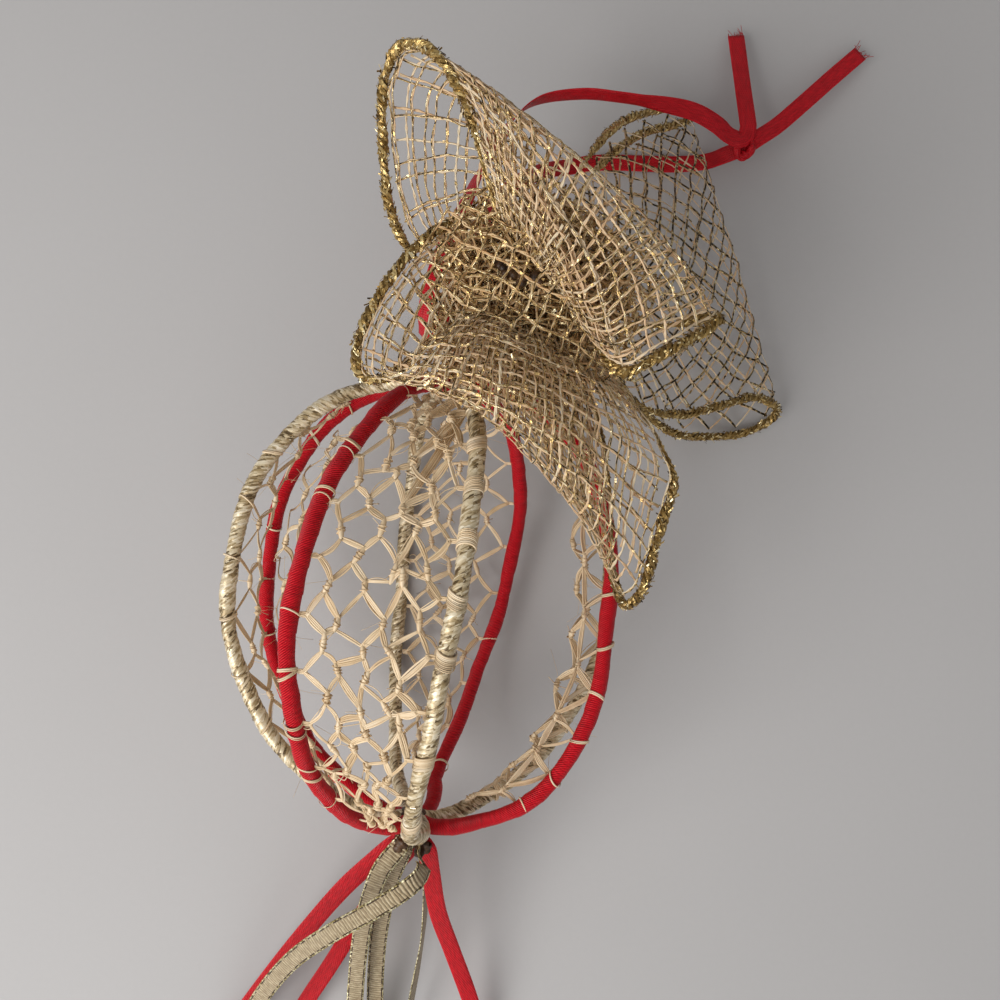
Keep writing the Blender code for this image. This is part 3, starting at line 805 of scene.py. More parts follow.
def foil_on_rib(made, line, radius):
    """Scraps of foil that lie along the winding of a gold rib."""
    across, normal = carried_frames(line)
    along = tangents(line)
    lead = unit(np.array((1.0, GOLD_STARTS * GOLD_PITCH / (2 * math.pi * RIB_RADIUS))))
    for _ in range(FOIL_SCRAPS):
        spot = rng.integers(2, len(line) - 3)
        turn = rng.random() * 6.28
        out = across[spot] * math.cos(turn) + normal[spot] * math.sin(turn)
        aside = np.cross(out, along[spot])
        start = line[spot] + out * (radius[spot] * rng.uniform(0.90, 1.0))
        way = unit(aside * lead[0] - along[spot] * lead[1] + rng.normal(0, 0.1, 3))
        reach = rng.uniform(0.4, 0.9)
        half = unit(np.cross(way, out + rng.normal(0, 0.3, 3))) * rng.uniform(0.05, 0.1)
        made.scrap(start, start + way * reach - out * 0.3 * reach * reach, half)


def make_ribs(red, gold):
    for index, rib in enumerate(RIBS):
        is_red = rib.slot == "red_thread"
        steps = int(path_length(rib_path(index, 20)) / (RED_STEP if is_red else GOLD_STEP))
        share = np.linspace(0.0, 1.0, steps)
        wobble = share[:, None] * 2 * math.pi
        line = rib_path(index, steps)
        line = line + SIDE * 0.15 * np.sin(wobble * 5 + index)
        line = line + UP * 0.12 * np.sin(wobble * 7 + index * 2)
        radius = RIB_RADIUS + 0.02 + 0.05 * np.sin(share * 40 + index)
        if rib.name == "rib_front_gold":
            radius = radius + 0.75 * np.clip((share - 0.86) / 0.1, 0, 1)
        made = Weave()
        if is_red:
            relief = wound_relief(RED_PITCH, 1, 0.03, 0.6, 4.6)
        else:
            relief = wound_relief(GOLD_PITCH, GOLD_STARTS, 0.14, 0.4, 5.5)
        made.strand(line, radius, sides=RIB_SIDES, relief=relief)
        if not is_red:
            foil_on_rib(made, line, radius)
        piece = made.make(rib.name + "_wound", red if is_red else gold)
        finish_piece(piece, (rib.name,))


# Straw nets

def net_angle(net, column, row):
    """Every other column of knots sits half a row lower."""
    margin = math.radians(net.end)
    step = (math.pi - 2 * margin) / net.rows
    return margin + step * (row + (0.5 if column % 2 else 0.0))


def net_knot(net, column, row):
    """Knot position: columns run from rib to rib and rows from pole to pole."""
    angle = net_angle(net, column, row)
    left = rib_point(net.first, angle)
    across = rib_point(net.second, angle) - left
    reach = np.linalg.norm(across)
    clear = RIB_RADIUS + FIT_GAP + NET_STRAND * 0.75
    share = column / net.columns
    inner = clear + net.apart * (1.0 - share) + (reach - 2 * clear) * share
    point = left + across / reach * inner
    inward = unit(on_axis(point) - point)
    return point + inward * net.dip * (1.0 - share if net.apart else math.sin(math.pi * share))


BAND_WIDTH = 0.3


def bundle(made, start, end, normal, bands, width=BAND_WIDTH):
    """A flat bundle of straw between two knots, bowed a little: bands side by side,
    drawn together at the ends, and a thin fibre that stands off."""
    along = end - start
    reach = np.linalg.norm(along)
    side = unit(np.cross(along, normal))
    bow = rng.normal(0, 0.05) * reach
    lift = rng.normal(0, 0.04) * reach
    base = rng.random()
    share = np.linspace(-0.03, 1.03, 9)
    arch = np.sin(np.clip(share, 0, 1) * math.pi)
    for number in range(bands + 1):
        loose = number == bands
        place = rng.normal(0, 0.3) if loose else (number - (bands - 1) / 2) * width * 0.85
        own = rng.normal(0, 0.3 if loose else 0.03)
        line = start + along * share[:, None]
        line = line + side * (bow * arch + place * (0.65 + 0.35 * arch) + own * arch)[:, None]
        line = line + normal * (lift * arch + 0.04 * number)[:, None]
        face = normal + side * rng.normal(0, 0.25)
        half = 0.07 if loose else width * 0.55 * (0.8 + 0.2 * arch)
        shade = np.clip(base * 0.6 + rng.random() * 0.4, 0, 1)
        made.strand(line, half, 0.05 if loose else 0.09, hint=face, sides=5, shade=shade)


KNOT_SWELL = (0.12, 0.3, 0.38, 0.42, 0.42, 0.38, 0.3, 0.12)


def net_fibre_knot(made, top, bottom, normal):
    """A hand-tied knot: fibre wound round two bundles that run together for a little way."""
    main = unit(bottom - top)
    centre = (top + bottom) / 2
    side = np.cross(main, normal)
    turns = rng.integers(2, 4)
    for number in range(turns):
        slide = (number - (turns - 1) / 2) * rng.uniform(0.35, 0.5)
        tilt = rng.normal(0, 0.45)
        size = rng.uniform(0.42, 0.58)
        across = unit(side + main * tilt) * size
        ring = hoop(centre + main * slide, across, normal * size * 0.75, 13)
        shade = rng.uniform(0.1, 0.8)
        made.strand(ring, 0.17, 0.07, hint=main + normal * 0.01, sides=4, shade=shade)
    reach = np.linalg.norm(bottom - top) / 2 + 0.35
    core = [centre + main * t * reach for t in np.linspace(-1, 1, len(KNOT_SWELL))]
    made.strand(core, KNOT_SWELL, sides=6, shade=rng.uniform(0.3, 0.8))
    for _ in range(rng.integers(0, 3)):
        way = unit(rng.normal(0, 1, 3))
        line = []
        for t in np.linspace(0, 1, 5):
            line.append(centre + way * t * rng.uniform(1.2, 2.4) + normal * 0.5 * t * t)
        made.strand(line, 0.06, 0.03, hint=normal, sides=4)


def rib_band(made, rib_index, angle, fibres):
    """Straw taken slantwise round a rib where the net is tied to it."""
    centre = rib_point(rib_index, angle)
    along = unit(rib_point(rib_index, angle + 0.01) - rib_point(rib_index, angle - 0.01))
    start = unit(np.cross(along, UP if abs(along[2]) < 0.9 else SIDE))
    other = np.cross(along, start)
    lean = along * rng.choice((-1, 1)) * rng.uniform(0.3, 0.8)
    phase = rng.random() * 6
    for number in range(fibres):
        shift = (number - (fibres - 1) / 2) * 0.24
        reach = RIB_RADIUS + 0.13 + 0.03 * (number % 2)
        first = start * reach + lean * math.sin(phase)
        second = other * reach + lean * math.cos(phase)
        ring = hoop(centre + along * shift, first, second, 21)
        half = rng.uniform(0.12, 0.17)
        shade = rng.uniform(0.5, 1)
        made.strand(ring, half, 0.05, hint=unit(ring - centre), sides=4, shade=shade)


def knot_ends(net):
    """Both ends of each knot, a little out of place, and the way that the knot faces."""
    tops, bottoms, normals = {}, {}, {}
    for column in range(net.columns + 1):
        for row in range(net.rows if column % 2 else net.rows + 1):
            centre = net_knot(net, column, row)
            along = unit(net_knot(net, column, row + 0.5) - net_knot(net, column, row - 0.5))
            normal = unit(centre - on_axis(centre))
            normal = unit(normal - along * along.dot(normal))
            aside = np.cross(along, normal)
            half = 0.0
            if 0 < column < net.columns:
                centre = centre + along * rng.normal(0, 0.7) + aside * rng.normal(0, 0.5)
                centre = centre + normal * rng.normal(0, 0.3)
                half = rng.uniform(0.6, 1.3)
            if net.name == "net_right":
                normal = unit(normal * 0.4 + UP)
            slant = unit(along + aside * rng.normal(0, 0.35))
            tops[column, row] = centre - slant * half
            bottoms[column, row] = centre + slant * half
            normals[column, row] = normal
    return tops, bottoms, normals


def tie_to_rib(made, net, column, row, centre, normal):
    """Straw from the net's edge to the rib, often with some wound round the rib."""
    if net.apart and column == 0:
        return
    rib_index = net.first if column == 0 else net.second
    angle = net_angle(net, column, row)
    heart = rib_point(rib_index, angle)
    towards = unit(centre - heart)
    start = heart + towards * (RIB_RADIUS - 0.1)
    bundle(made, start, centre + towards * 0.4, normal, 3, 0.26)
    if rib_index == 0 and rng.random() < 0.5:
        rib_band(made, rib_index, angle, 9)
    elif rng.random() < 0.7:
        rib_band(made, rib_index, angle, int(rng.integers(1, 3)))


# Straw drawn from the front rib to a knot of the front net: the knot and the rib's angle
FRONT_TIES = (((4, 1), 0.42), ((4, 2), 0.5), ((4, 3), 0.46), ((6, 1), 0.58))
LOOSE_HAIRS = 26


def make_net(net, straw):
    made = Weave()
    tops, bottoms, normals = knot_ends(net)
    for (column, row), normal in normals.items():
        if column % 2 == 0:
            for side in (-1, 1):
                above = (column + side, row - 1)
                below = (column + side, row)
                bands = int(rng.integers(2, 5))
                if above in normals:
                    bundle(made, tops[column, row], bottoms[above], normal, bands)
                if below in normals:
                    bundle(made, bottoms[column, row], tops[below], normal, bands)
        if 0 < column < net.columns:
            net_fibre_knot(made, tops[column, row], bottoms[column, row], normal)
        else:
            tie_to_rib(made, net, column, row, tops[column, row], normal)
    if net.name == "net_right":
        for row in range(net.rows - 1):
            bands = int(rng.integers(3, 6))
            bundle(made, bottoms[1, row], tops[1, row + 1], normals[1, row], bands, 0.28)
    if net.name == "net_front":
        for key, angle in FRONT_TIES:
            start = rib_point(0, angle)
            start = start + unit(tops[key] - start) * (RIB_RADIUS + 0.1)
            bundle(made, start, tops[key], normals[key], int(rng.integers(4, 7)))
    keys = list(normals)
    for _ in range(LOOSE_HAIRS):
        centre = tops[keys[rng.integers(len(keys))]]
        way = unit(rng.normal(0, 1, 3))
        curl = np.cross(way, rng.normal(0, 1, 3))
        reach = rng.uniform(2.0, 6.0)
        line = [centre + way * reach * t + curl * 1.6 * t * t for t in np.linspace(0, 1, 9)]
        made.strand(line, 0.03, sides=3, shade=rng.uniform(0.0, 0.5))
    finish_piece(made.make(net.name + "_fibres", straw), (net.name,))


# Bow

GUIDE_STEPS = 241
MIDDLE_STEPS = 200


def guide_line(out, back, start, end):
    """Fine points of one line of a loop, with the share of the run at each of them.
    The crest, the last point on the way out, is at one half."""
    points = smooth_path((start, *out, *back, end), GUIDE_STEPS)
    middle = int(np.argmin(np.linalg.norm(points - np.array(out[-1]), axis=1)))
    runs = np.interp(np.arange(GUIDE_STEPS), (0, middle, GUIDE_STEPS - 1), (0.0, 0.5, 1.0))
    return runs, points


class Loop:
    """One bow loop. Its mesh hangs on three lines that leave the bow knot and come back."""

    def __init__(self, name, left, middle, right):
        self.name = name
        crests = [np.array(line[0][-1]) for line in (left, middle, right)]
        out = unit(crests[1] - BOW_KNOT)
        across = unit(crests[2] - crests[0])
        down = unit(np.cross(out, across))
        if down[2] > 0.0:
            down = -down
        self.width = path_length(np.array(crests))
        self.wave = rng.random((5, 3)) * 6
        self.lines = []
        for side, line in ((-1.0, left), (0.0, middle), (1.0, right)):
            gathered = BOW_KNOT + out * (BOW_KNOT_RADIUS + 0.9) + across * GATHER_HALF_WIDTH * side
            start = gathered + down * GATHER_HALF_GAP
            end = gathered - down * GATHER_HALF_GAP
            self.lines.append(guide_line(line[0], line[1], start, end))

    def plain(self, run, side):
        left, middle, right = (
            np.stack([np.interp(run, runs, fine[:, axis]) for axis in range(3)], axis=-1)
            for runs, fine in self.lines
        )
        side = side[..., None]
        return middle + (right - left) * side / 2 + ((left + right) / 2 - middle) * side * side

    def point(self, run, side, wrinkle=0.4):
        """run goes 0 to 1 out and back, side -1 to 1 across the mesh."""
        run, side = np.broadcast_arrays(np.asarray(run, dtype=float), np.asarray(side, dtype=float))
        spot = self.plain(run, side)
        calm = np.sin(math.pi * np.clip(run, 0, 1)) * (1.0 - 0.9 * side ** 2)
        for index, (a, b, c) in enumerate(self.wave):
            bend = np.sin(run * (6 + 5 * index) + a) * np.sin(side * (2.5 + 1.6 * index) + b)
            way = unit(np.array((math.sin(c * 2), math.cos(c * 3), 1.2)))
            spot = spot + way * (bend * wrinkle * calm / (1 + 0.4 * index))[..., None]
        return spot

    def middle_line(self):
        return self.point(np.linspace(0, 1, MIDDLE_STEPS), np.zeros(MIDDLE_STEPS))

    def face(self, run, side):
        step = 0.004
        along = self.point(run + step, side) - self.point(run - step, side)
        across = self.point(run, side + step * 4) - self.point(run, side - step * 4)
        return unit(np.cross(along, across))


# Each loop: its left edge, middle and right edge, each as the points on the way out,
# ending on the crest, and the points on the way back
LOOPS = (
    Loop(
        "bow_loop_upper",
        (
            ((-4.5, 33.2, 40), (-9.4, 35.0, 39.8), (-13.4, 36.7, 40.2), (-16.5, 43.4, 41.5),
             (-17.2, 52.8, 44), (-16.7, 59.9, 46), (-13.6, 62.6, 51)),
            ((-8.7, 59.2, 56), (-4.8, 52.8, 56.5), (-2.3, 44.4, 56), (0.4, 36.7, 51.5)),
        ),
        (
            ((5.7, 35.1, 45.5), (9.1, 39.4, 50.5), (11.5, 41.9, 55), (12.6, 42.7, 58.5)),
            ((11.9, 40.2, 62), (9.5, 36.0, 62), (7.1, 32.7, 57.5)),
        ),
        (
            ((8.6, 26.9, 45.5), (15.4, 24.1, 48.5), (22.9, 24.1, 50), (29.8, 24.8, 52.5)),
            ((26.8, 22.2, 55), (23.0, 20.0, 57), (19.4, 17.9, 57.5), (16.4, 16.8, 56),
             (13.6, 20.0, 53.5), (11.2, 24.9, 50)),
        ),
    ),
    Loop(
        "bow_loop_lower",
        (
            ((-0.4, 34.0, 46), (-4.6, 39.0, 48), (-8.2, 38.0, 49.5), (-13.1, 33.3, 51),
             (-17.0, 27.1, 52.5), (-19.5, 21.1, 52.5), (-19.1, 17.0, 51.5)),
            ((-15.2, 16.7, 53), (-11.9, 19.3, 53.5), (-6.9, 24.1, 51), (-2.1, 27.4, 48)),
        ),
        (
            ((1.4, 22.3, 49), (1.1, 15.7, 52), (1.1, 10.7, 55), (1.4, 7.9, 57.5)),
            ((2.3, 9.6, 60), (2.8, 14.8, 59.5), (3.2, 20.7, 55)),
        ),
        (
            ((9.0, 22.6, 43), (13.9, 13.1, 43.5), (15.8, 4.4, 42.5), (16.5, -5.2, 41),
             (17.1, -11.7, 39), (18.7, -15.8, 40)),
            ((20.8, -13.1, 43.5), (22.2, -7.2, 45.5), (23.9, -1.1, 46.5), (24.8, 2.8, 47),
             (22.2, 9.2, 46.5), (17.2, 17.0, 45), (11.9, 23.9, 44)),
        ),
    ),
    Loop(
        "bow_loop_right",
        (
            ((8.7, 40.8, 33), (13.4, 51.8, 22), (18.7, 60.3, 13), (25.5, 66.8, 7),
             (31.2, 69.4, 4.0), (35.4, 71.2, 3.0)),
            ((32.3, 71.7, 7.0), (27.1, 70.2, 9), (21.5, 66.8, 13), (16.7, 60.9, 18.5),
             (11.3, 51.0, 27), (7.3, 40.5, 36)),
        ),
        (
            ((13.5, 33.1, 30), (23.8, 35.7, 19), (35.1, 39.9, 9.5), (40.6, 42.4, 6.5),
             (42.9, 43.0, 8.5)),
            ((38.5, 41.9, 16), (31.4, 39.3, 24), (22.0, 35.3, 32), (12.7, 32.5, 39)),
        ),
        (
            ((12.0, 24.8, 29), (21.5, 18.1, 17), (31.0, 12.4, 7), (39.2, 11.7, 3.0),
             (47.0, 12.8, 1.6), (51.8, 16.4, 3.2)),
            ((46.1, 18.4, 9.4), (38.9, 16.5, 14), (31.0, 14.6, 17), (23.1, 15.7, 24),
             (14.0, 23.4, 33)),
        ),
    ),
)


# How far the cross threads run ahead from mouth to mouth, as a share of the run
SHEAR = 0.05
BIAS = 0.26
# A facet of foil that faces this way sends the window's light up
GLINT_WAY = np.array((-0.343, -0.229, 0.911))
FIBRE_HALF = 0.13
METAL_HALF = 0.11
# The share of a loop's run at each end that the bow knot hides
HIDDEN_RUN = 0.012
LENGTHWISE_STEPS = 66
CROSSWISE_STEPS = 38
SLANTING_STEPS = 48

# Where each braid is thick, as shares of its run; elsewhere it is a thin selvage
BRAID_SPANS = {
    "bow_braid_upper_left": (0.19, 0.74),
    "bow_braid_upper_right": (0.40, 0.80),
    "bow_braid_lower_left": (0.15, 0.66),
    "bow_braid_lower_right": (0.43, 0.71),
    "bow_braid_right_left": (0.28, 0.74),
    "bow_braid_right_right": (0.25, 0.76),
}


def mesh_thread(straw, gold, line, face, tone, metal, half=FIBRE_HALF, metal_half=METAL_HALF):
    """One thread of the open mesh: two straw fibres twisted, and often a metallic thread."""
    length = path_length(line)
    if length < 2.0:
        return
    share = np.linspace(0, length, len(line))
    aside = np.cross(tangents(line), face)
    line = line + aside * (0.12 * np.sin(share * 1.1 + rng.random() * 6))[:, None]
    turn = share * 1.9 + rng.random() * 6
    for sign in (-1, 1):
        beside = aside * (np.cos(turn) * 0.12 * sign)[:, None]
        beside = beside + face * (np.sin(turn) * 0.07 * sign)[:, None]
        shade = np.clip(tone + rng.normal(0, 0.15), 0, 1)
        straw.strand(line + beside, half, 0.07, hint=face, sides=4, shade=shade)
    if rng.random() < metal:
        wander = 0.16 * np.sin(share * 0.8 + rng.random() * 6)
        upward = face * np.where(face[..., 2:] < 0.0, -1.0, 1.0)
        run = line + aside * wander[:, None] + upward * 0.14
        gold.strand(run, metal_half, 0.06, hint=face, sides=3)
    for _ in range(rng.poisson(length * 0.10)):
        spot = rng.integers(1, len(line) - 1)
        facet = unit(GLINT_WAY + rng.normal(0, 0.22, 3))
        way = line[spot + 1] - line[spot - 1] + rng.normal(0, 0.2, 3)
        way = unit(way - facet * way.dot(facet))
        aslant = np.cross(way, facet) * rng.uniform(0.1, 0.18)
        start = line[spot] + UP * 0.18
        gold.scrap(start, start + way * rng.uniform(0.3, 0.7), aslant)


def mesh_line(straw, gold, loop, runs, sides, phase, layer, metal=0.7, metal_half=METAL_HALF):
    line = loop.point(runs, sides)
    face = loop.face(runs, sides)
    share = np.linspace(0, path_length(line), len(line))
    line = line + face * (0.12 * np.sin(share / MESH_CELL * math.pi + phase) + layer)[:, None]
    mesh_thread(straw, gold, line, face, rng.uniform(0.2, 1.0), metal, FIBRE_HALF, metal_half)


def mesh_layer(straw, gold, loop, cell, layer, far=1.0, span=(-1.0, 1.0)):
    """A layer of mesh. It covers the share far of the run and the part span of the width."""
    low, high = span[0] * MESH_SHARE, span[1] * MESH_SHARE
    lines = int(round(loop.width * (high - low) / 2 / cell))
    runs = np.linspace(HIDDEN_RUN, 1 - HIDDEN_RUN, LENGTHWISE_STEPS)
    runs = runs[(runs < far / 2) | (runs > 1 - far / 2)] if far < 1.0 else runs
    for number in range(lines + 1):
        side = low + (high - low) * number / lines
        for part in np.split(runs, np.flatnonzero(np.diff(runs) > 0.05) + 1):
            bend = side + 0.02 * np.sin(part * 9 + number)
            mesh_line(straw, gold, loop, part, bend, math.pi * number, layer)
    middle = loop.middle_line()
    across_lines = int(round(path_length(middle) * 1.25 / cell))
    run_of = run_along(middle)
    run_of = run_of / run_of[-1]
    sides = np.linspace(low, high, max(12, int(CROSSWISE_STEPS * (high - low) / 2)))
    for number in range(1, across_lines):
        run = float(np.interp(number / across_lines, run_of, np.linspace(0, 1, MIDDLE_STEPS)))
        if far < 1.0 and far / 2 < run < 1 - far / 2:
            continue
        lean = np.clip(run + SHEAR * sides + 0.006 * np.sin(sides * 7 + number), 0.01, 0.99)
        mesh_line(straw, gold, loop, lean, sides, math.pi * number, layer)
    return path_length(middle)


def bias_layer(straw, gold, loop, cell):
    """Mesh cut slantwise: both sets of threads cross the loop at an angle."""
    length = path_length(loop.middle_line())
    lines = int(round(length * (1 + 2 * BIAS) * 0.84 / cell))
    sides = np.linspace(-MESH_SHARE, MESH_SHARE, SLANTING_STEPS)
    for lean, metal, thick in ((BIAS, 1.0, 0.24), (-BIAS, 0.4, 0.13)):
        for number in range(lines + 1):
            start = -BIAS + (1 + 2 * BIAS) * number / lines
            runs = start + lean * sides + 0.004 * np.sin(sides * 8 + number)
            kept = (runs > HIDDEN_RUN) & (runs < 1 - HIDDEN_RUN)
            if kept.sum() > 6:
                phase = math.pi * number
                mesh_line(straw, gold, loop, runs[kept], sides[kept], phase, 0.0, metal, thick)
    return length


# Gathered mesh round the bow knot: centre, two ways, half sizes, cell, fold height, dome
GATHERS = (
    ((3.5, 28.5, 54.5), (0.86, -0.5, 0.0), (0.5, 0.86, 0.1), (15.0, 12.5), 2.3, 0.5, 3.0),
    ((-0.5, 31.5, 52.0), (1.0, 0.2, 0.1), (-0.2, 1.0, 0.2), (7.5, 8.5), 1.3, 0.9, 0.8),
    ((-2.0, 35.5, 50.0), (0.9, 0.5, 0.1), (-0.5, 0.9, 0.2), (6.5, 6.0), 1.3, 1.1, 0.8),
    ((1.5, 37.0, 51.5), (0.8, 0.6, 0.0), (-0.6, 0.8, -0.1), (9.5, 7.0), 1.4, 1.1, 0.5),
    ((8.5, 33.0, 51.5), (0.7, -0.7, 0.0), (0.7, 0.7, 0.2), (10.0, 7.5), 1.4, 1.1, 0.5),
    ((13.5, 30.0, 50.5), (0.8, -0.5, 0.0), (0.5, 0.8, 0.2), (8.5, 7.0), 1.5, 1.1, 0.5),
    ((2.0, 24.0, 51.5), (1.0, -0.1, 0.0), (0.1, 1.0, 0.2), (11.0, 7.0), 1.4, 1.0, 0.8),
    ((4.0, 19.5, 50.5), (0.9, -0.3, 0.0), (0.3, 0.9, 0.1), (10.0, 6.0), 1.5, 1.0, 0.6),
    ((10.5, 24.5, 50.0), (0.8, -0.6, 0.1), (0.6, 0.8, 0.1), (9.0, 7.0), 1.5, 1.1, 0.5),
    ((-2.5, 25.5, 51.0), (0.5, 0.86, 0.1), (-0.86, 0.5, 0.0), (6.5, 6.0), 1.3, 1.0, 0.5),
    ((4.0, 31.0, 48.0), (0.3, 0.95, 0.0), (0.95, -0.3, 0.1), (12.0, 11.0), 1.3, 1.2, 0.0),
    ((2.0, 27.0, 47.0), (0.8, 0.5, 0.0), (-0.5, 0.8, 0.1), (12.0, 11.0), 1.4, 1.2, 0.0),
)


def gathered_sheet(straw, gold, centre, first, second, half, cell, fold, dome):
    """A piece of mesh pushed together into small folds, or lying over them."""
    first = unit(first)
    second = unit(np.asarray(second) - first * first.dot(second))
    normal = np.cross(first, second)
    offsets = rng.random(6) * 6
    slant = rng.uniform(0.4, 2.6)

    def spot(u, v):
        fold_run = u * math.cos(slant) + v * math.sin(slant)
        height = fold * np.sin(fold_run * 1.15 + offsets[0] + 0.5 * np.sin(v * 0.4 + offsets[1]))
        height = height + 0.5 * fold * np.sin(u * 0.7 + offsets[2]) * np.sin(v * 0.8 + offsets[3])
        height = height - dome * ((u / half[0]) ** 2 + (v / half[1]) ** 2)
        aside = 0.35 * fold * np.sin(fold_run * 2.3 + offsets[4])
        u = u + aside * math.cos(slant)
        v = v + aside * math.sin(slant)
        flat = np.asarray(centre) + u[:, None] * first + v[:, None] * second
        return flat + height[:, None] * normal

    for own, other, swap in ((half[0], half[1], False), (half[1], half[0], True)):
        for place in np.arange(-other, other + 0.01, cell):
            reach = own * math.sqrt(max(0.12, 1 - (place / (other * 1.08)) ** 2))
            along = np.linspace(-reach, reach, max(8, int(reach * 2 / 0.85)))
            across = place + 0.25 * np.sin(along * 0.6 + place * 3)
            line = spot(across, along) if swap else spot(along, across)
            folded = fold > 0.7
            # Crumpled sheets, which lie under the front one, get a darker tone: painted shade in
            # the folds
            tone = rng.uniform(0.1, 0.8) if folded else rng.uniform(0.2, 1.0)
            face = normal + rng.normal(0, 0.2, 3)
            mesh_thread(straw, gold, line, face, tone, 0.85, 0.15 if folded else FIBRE_HALF)


def make_gathers(gold_look):
    straw = Weave()
    gold = Weave()
    for row in GATHERS:
        gathered_sheet(straw, gold, *row)
    # The gathered mesh is darker than the loops: painted shade of the dense folds, besides its
    # golden-brown colour
    warm_shaded = mesh_material("mesh_gathered", False, MESH_WARM_SHADED)
    return [
        finish_piece(straw.make("bow_gathers_mesh", warm_shaded)),
        finish_piece(gold.make("bow_gathers_threads", gold_look)),
    ]


# Layers of mesh inside a loop: the cell as a share of MESH_CELL, how far the layer stands
# off, the share of the run and the part of the width that it covers
LININGS = {
    "bow_loop_upper": (
        (0.9, 0.55, 0.62, (-0.3, 0.9)),
        (0.8, -0.5, 0.5, (-0.3, 0.9)),
        (1.1, -0.45, 1.0, (-0.98, -0.3)),
    ),
    "bow_loop_lower": (
        (0.9, 0.55, 0.9, (-0.45, 0.98)),
        (0.8, -0.5, 0.5, (-0.45, 0.98)),
        (1.1, -0.45, 1.0, (-0.98, -0.45)),
    ),
}


def make_loop(loop, straw_look, gold_look, braid_look):
    straw = Weave()
    gold = Weave()
    cell = LOOP_CELLS[loop.name]
    if loop.name == "bow_loop_right":
        flat_length = bias_layer(straw, gold, loop, cell)
    else:
        flat_length = mesh_layer(straw, gold, loop, cell, 0.0)
    pale = straw.make(loop.name + "_mesh", straw_look)
    finish_piece(pale, (loop.name,))
    if loop.name in LININGS:
        second = Weave()
        for share, layer, far, span in LININGS[loop.name]:
            mesh_layer(second, gold, loop, MESH_CELL * share, layer, far, span)
        lining = second.make(loop.name + "_inner_mesh", straw_look)
        finish_piece(lining)
    if loop.name == "bow_loop_lower":
        make_gathers(gold_look)
    bright = finish_piece(gold.make(loop.name + "_metal_threads", gold_look))
    mouths = ((-1.0, "left"), (1.0, "right"))
    braids = [make_braid(loop, side, tag, braid_look) for side, tag in mouths]


BRAID_STEPS = 420
BRAID_ENDS = (0.06, 0.94)
BRAID_LAY = 3.0
SCRAPS_PER_MM = 30


def make_braid(loop, side, tag, look):
    """Tinsel braid along one mouth of a loop: plaited cords with loose metallic scraps."""
    made = Weave()
    shares = np.linspace(*BRAID_ENDS, 400)
    edge = loop.point(shares, np.full(400, side * 0.995), 0.0)
    core = respace(edge, BRAID_STEPS)
    name = loop.name.replace("loop", "braid") + "_" + tag
    first, last = BRAID_SPANS[name]
    lengths = run_along(edge)
    places = np.interp(np.linspace(0, lengths[-1], BRAID_STEPS), lengths, shares)
    full = np.clip((places - first) / 0.05 + 0.5, 0, 1)
    full = full * np.clip((last - places) / 0.05 + 0.5, 0, 1)
    full = 0.36 + 0.64 * full
    along = tangents(core)
    across, face = carried_frames(core)
    length = path_length(core)
    run = np.linspace(0, length, BRAID_STEPS)
    for strand in range(3):
        turn = run * 2 * math.pi / BRAID_LAY + strand * 2 * math.pi / 3
        reach = (0.42 + 0.12 * np.sin(run * 0.9 + strand)) * full
        line = core + across * (np.cos(turn) * reach)[:, None]
        line = line + face * (np.sin(turn) * reach)[:, None]
        made.strand(line, 0.40 * full, 0.30 * full, sides=5, shade=rng.uniform(0.25, 0.7))
    for _ in range(int(length * SCRAPS_PER_MM)):
        spot = rng.integers(1, BRAID_STEPS - 1)
        if rng.random() > full[spot] ** 2:
            continue
        turn = rng.random() * 6.28
        out = across[spot] * math.cos(turn) + face[spot] * math.sin(turn)
        start = core[spot] + out * rng.uniform(0.35, 0.86) * full[spot]
        start = start + along[spot] * rng.normal(0, 0.2)
        round_way = np.cross(out, along[spot]) * rng.choice((-0.5, 0.8)) + along[spot]
        way = unit(round_way + rng.normal(0, 0.32, 3) + out * rng.uniform(-0.2, 0.08))
        if rng.random() < 0.02:
            way = unit(way + out * rng.uniform(0.4, 1.0))
        reach = rng.uniform(0.35, 0.9)
        half = unit(np.cross(way, out + rng.normal(0, 0.45, 3))) * rng.uniform(0.06, 0.14)
        made.scrap(start, start + way * reach, half)
    piece = made.make(name + "_tinsel", look, smooth=False)
    return finish_piece(piece, (name,))


def lump(made, centre, size):
    """A drop of glue."""
    way = unit(rng.normal(0, 1, 3))
    along = np.linspace(-0.9, 0.9, 9)[:, None]
    swell = size * np.sqrt(np.maximum(0.02, 1 - (along[:, 0] / 0.95) ** 2))
    made.strand(centre + way * along * size, swell, sides=10, shade=0.5)


def make_neck(glue):
    top = BALL_CENTRE + AXIS * (BALL_HALF_LENGTH + HUB_LENGTH / 2 + 3 * FIT_GAP)
    path = smooth_path([top, top + (1.6, 4.2, 2.6), BOW_KNOT - (2.4, 3.4, 3.4), BOW_KNOT], 120)
    made = Weave()
    swell = 1.5 + 1.3 * np.linspace(0, 1, 120) ** 2
    made.strand(path, swell, sides=14, relief=wound_relief(0.7, 1, 0.12, 0.6, 4.0))
    for _ in range(5):
        lump(made, BOW_KNOT + rng.normal(0, 1.1, 3), rng.uniform(1.0, 1.9))
    for number in range(12):
        spot = np.array((0.0 + 0.5 * number, 31.0 - 0.13 * number, 53.0)) + rng.normal(0, 0.35, 3)
        lump(made, spot, rng.uniform(0.5, 1.0))
    piece = made.make("bow_neck_wound", glue)
    finish_piece(piece, ("bow_neck",))


SMEAR_SWELL = np.array((0.4, 0.8, 1.0, 0.95, 0.8, 0.9, 0.6, 0.2))


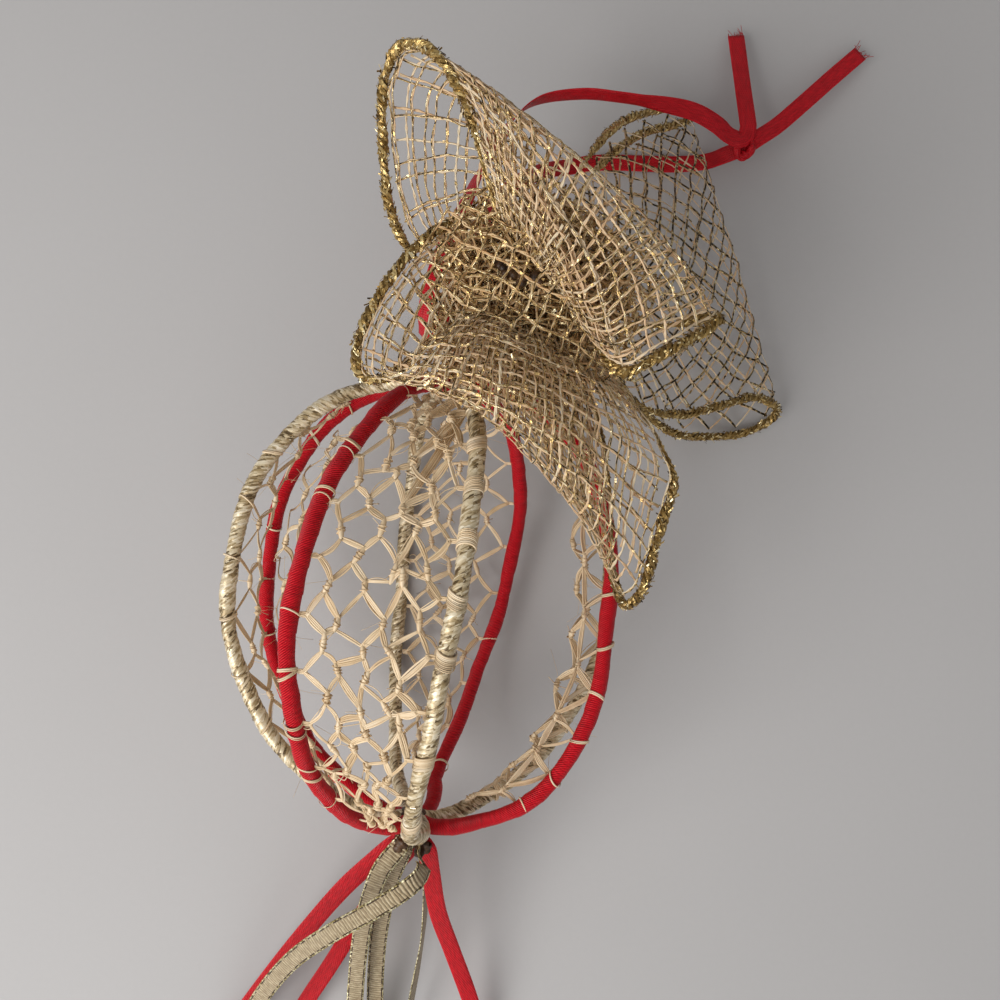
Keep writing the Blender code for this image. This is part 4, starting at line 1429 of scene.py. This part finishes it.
def make_hub(way, name, glue):
    """A binding where the ribs meet: wound thread, glue between the ribs and, below, glue
    that runs on to each tail."""
    centre = BALL_CENTRE + AXIS * way * BALL_HALF_LENGTH
    made = Weave()
    line = [centre + AXIS * t for t in np.linspace(-HUB_LENGTH / 2, HUB_LENGTH / 2, 60)]
    ends = np.sqrt(np.clip(1 - np.linspace(-1, 1, 60) ** 6, 0.05, 1))
    made.strand(line, HUB_RADIUS * ends, sides=20, relief=wound_relief(0.6, 1, 0.14, 0.6, 3.0))
    for _ in range(6):
        lump(made, centre + AXIS * way * 1.2 + rng.normal(0, 0.9, 3), rng.uniform(0.7, 1.2))
    for index in range(8):
        out = outward(math.radians(FAN_OFFSET + FAN_PITCH * index))
        lump(made, centre + out * 2.3 - AXIS * way * 0.3, rng.uniform(0.9, 1.2))
    if way < 0:
        for _, _, points in TAILS:
            start = np.array(points[0])
            ahead = unit(np.array(points[1]) - start)
            smear = [start + ahead * t + rng.normal(0, 0.12, 3) for t in np.linspace(-1.6, 0.9, 8)]
            made.strand(smear, SMEAR_SWELL, 0.45, hint=UP, sides=9, shade=0.5)
    piece = made.make(name + "_glued", glue)
    finish_piece(piece, (name,))


# Surroundings

# Each light: name, place, target and size in metres in the part's frame, watts and colour
LIGHTS = (
    (
        "window_light", (-0.36, -0.24, 0.38), (-0.03, 0.0, 0.0), (0.36, 0.36),
        2.65, (1.0, 0.985, 0.97),
    ),
    (
        "room_fill", (-0.04, -0.45, 0.5), (0.0, -0.05, 0.0), (0.6, 0.5),
        0.8, (1.0, 0.985, 0.975),
    ),
)
FLOOR_SIZE = 3.0
FLOOR_LEVEL = -0.1 * MM
WORLD_COLOUR = (0.86, 0.84, 0.84, 1.0)
WORLD_STRENGTH = 0.36


def add_light(name, place, target, size, power, colour):
    data = bpy.data.lights.new(name, "AREA")
    data.shape = "RECTANGLE"
    data.size, data.size_y = size
    data.energy = power
    data.color = colour
    made = bpy.data.objects.new(name, data)
    made.location = place
    way = Vector(target) - Vector(place)
    made.rotation_euler = way.to_track_quat("-Z", "Y").to_euler()
    bpy.context.scene.collection.objects.link(made)


def make_surroundings():
    bpy.ops.mesh.primitive_plane_add(size=FLOOR_SIZE, location=(0.0, 0.0, FLOOR_LEVEL))
    floor = bpy.context.object
    floor.name = "pale_surface"
    floor.data.materials.append(floor_material())
    for light in LIGHTS:
        add_light(*light)
    world = bpy.data.worlds.new("room")
    world.use_nodes = True
    background = world.node_tree.nodes["Background"]
    background.inputs[0].default_value = WORLD_COLOUR
    background.inputs[1].default_value = WORLD_STRENGTH
    bpy.context.scene.world = world
    bpy.context.scene.view_settings.view_transform = "Standard"


add_camera()
red_satin = satin_material()
gold_ribbon = gold_ribbon_material()
make_ribbons(red_satin, gold_ribbon)
red_thread = red_thread_material()
gold_thread = gold_thread_material()
make_ribs(red_thread, gold_thread)
straw_fibre = straw_material()
for one_net in NETS:
    make_net(one_net, straw_fibre)
brown_glue = glue_material()
make_neck(brown_glue)
mesh_straw = mesh_material("mesh_straw", False, MESH_PALE)
mesh_gold = mesh_material("mesh_gold", True, MESH_METAL)
mesh_dark = mesh_material("mesh_dark", True, MESH_DARK)
gold_braid = braid_material()
for one_loop in LOOPS:
    metal_look = mesh_dark if one_loop.name == "bow_loop_right" else mesh_gold
    make_loop(one_loop, mesh_straw, metal_look, gold_braid)
make_hub(1.0, "binding_top", brown_glue)
make_hub(-1.0, "binding_bottom", brown_glue)
make_surroundings()
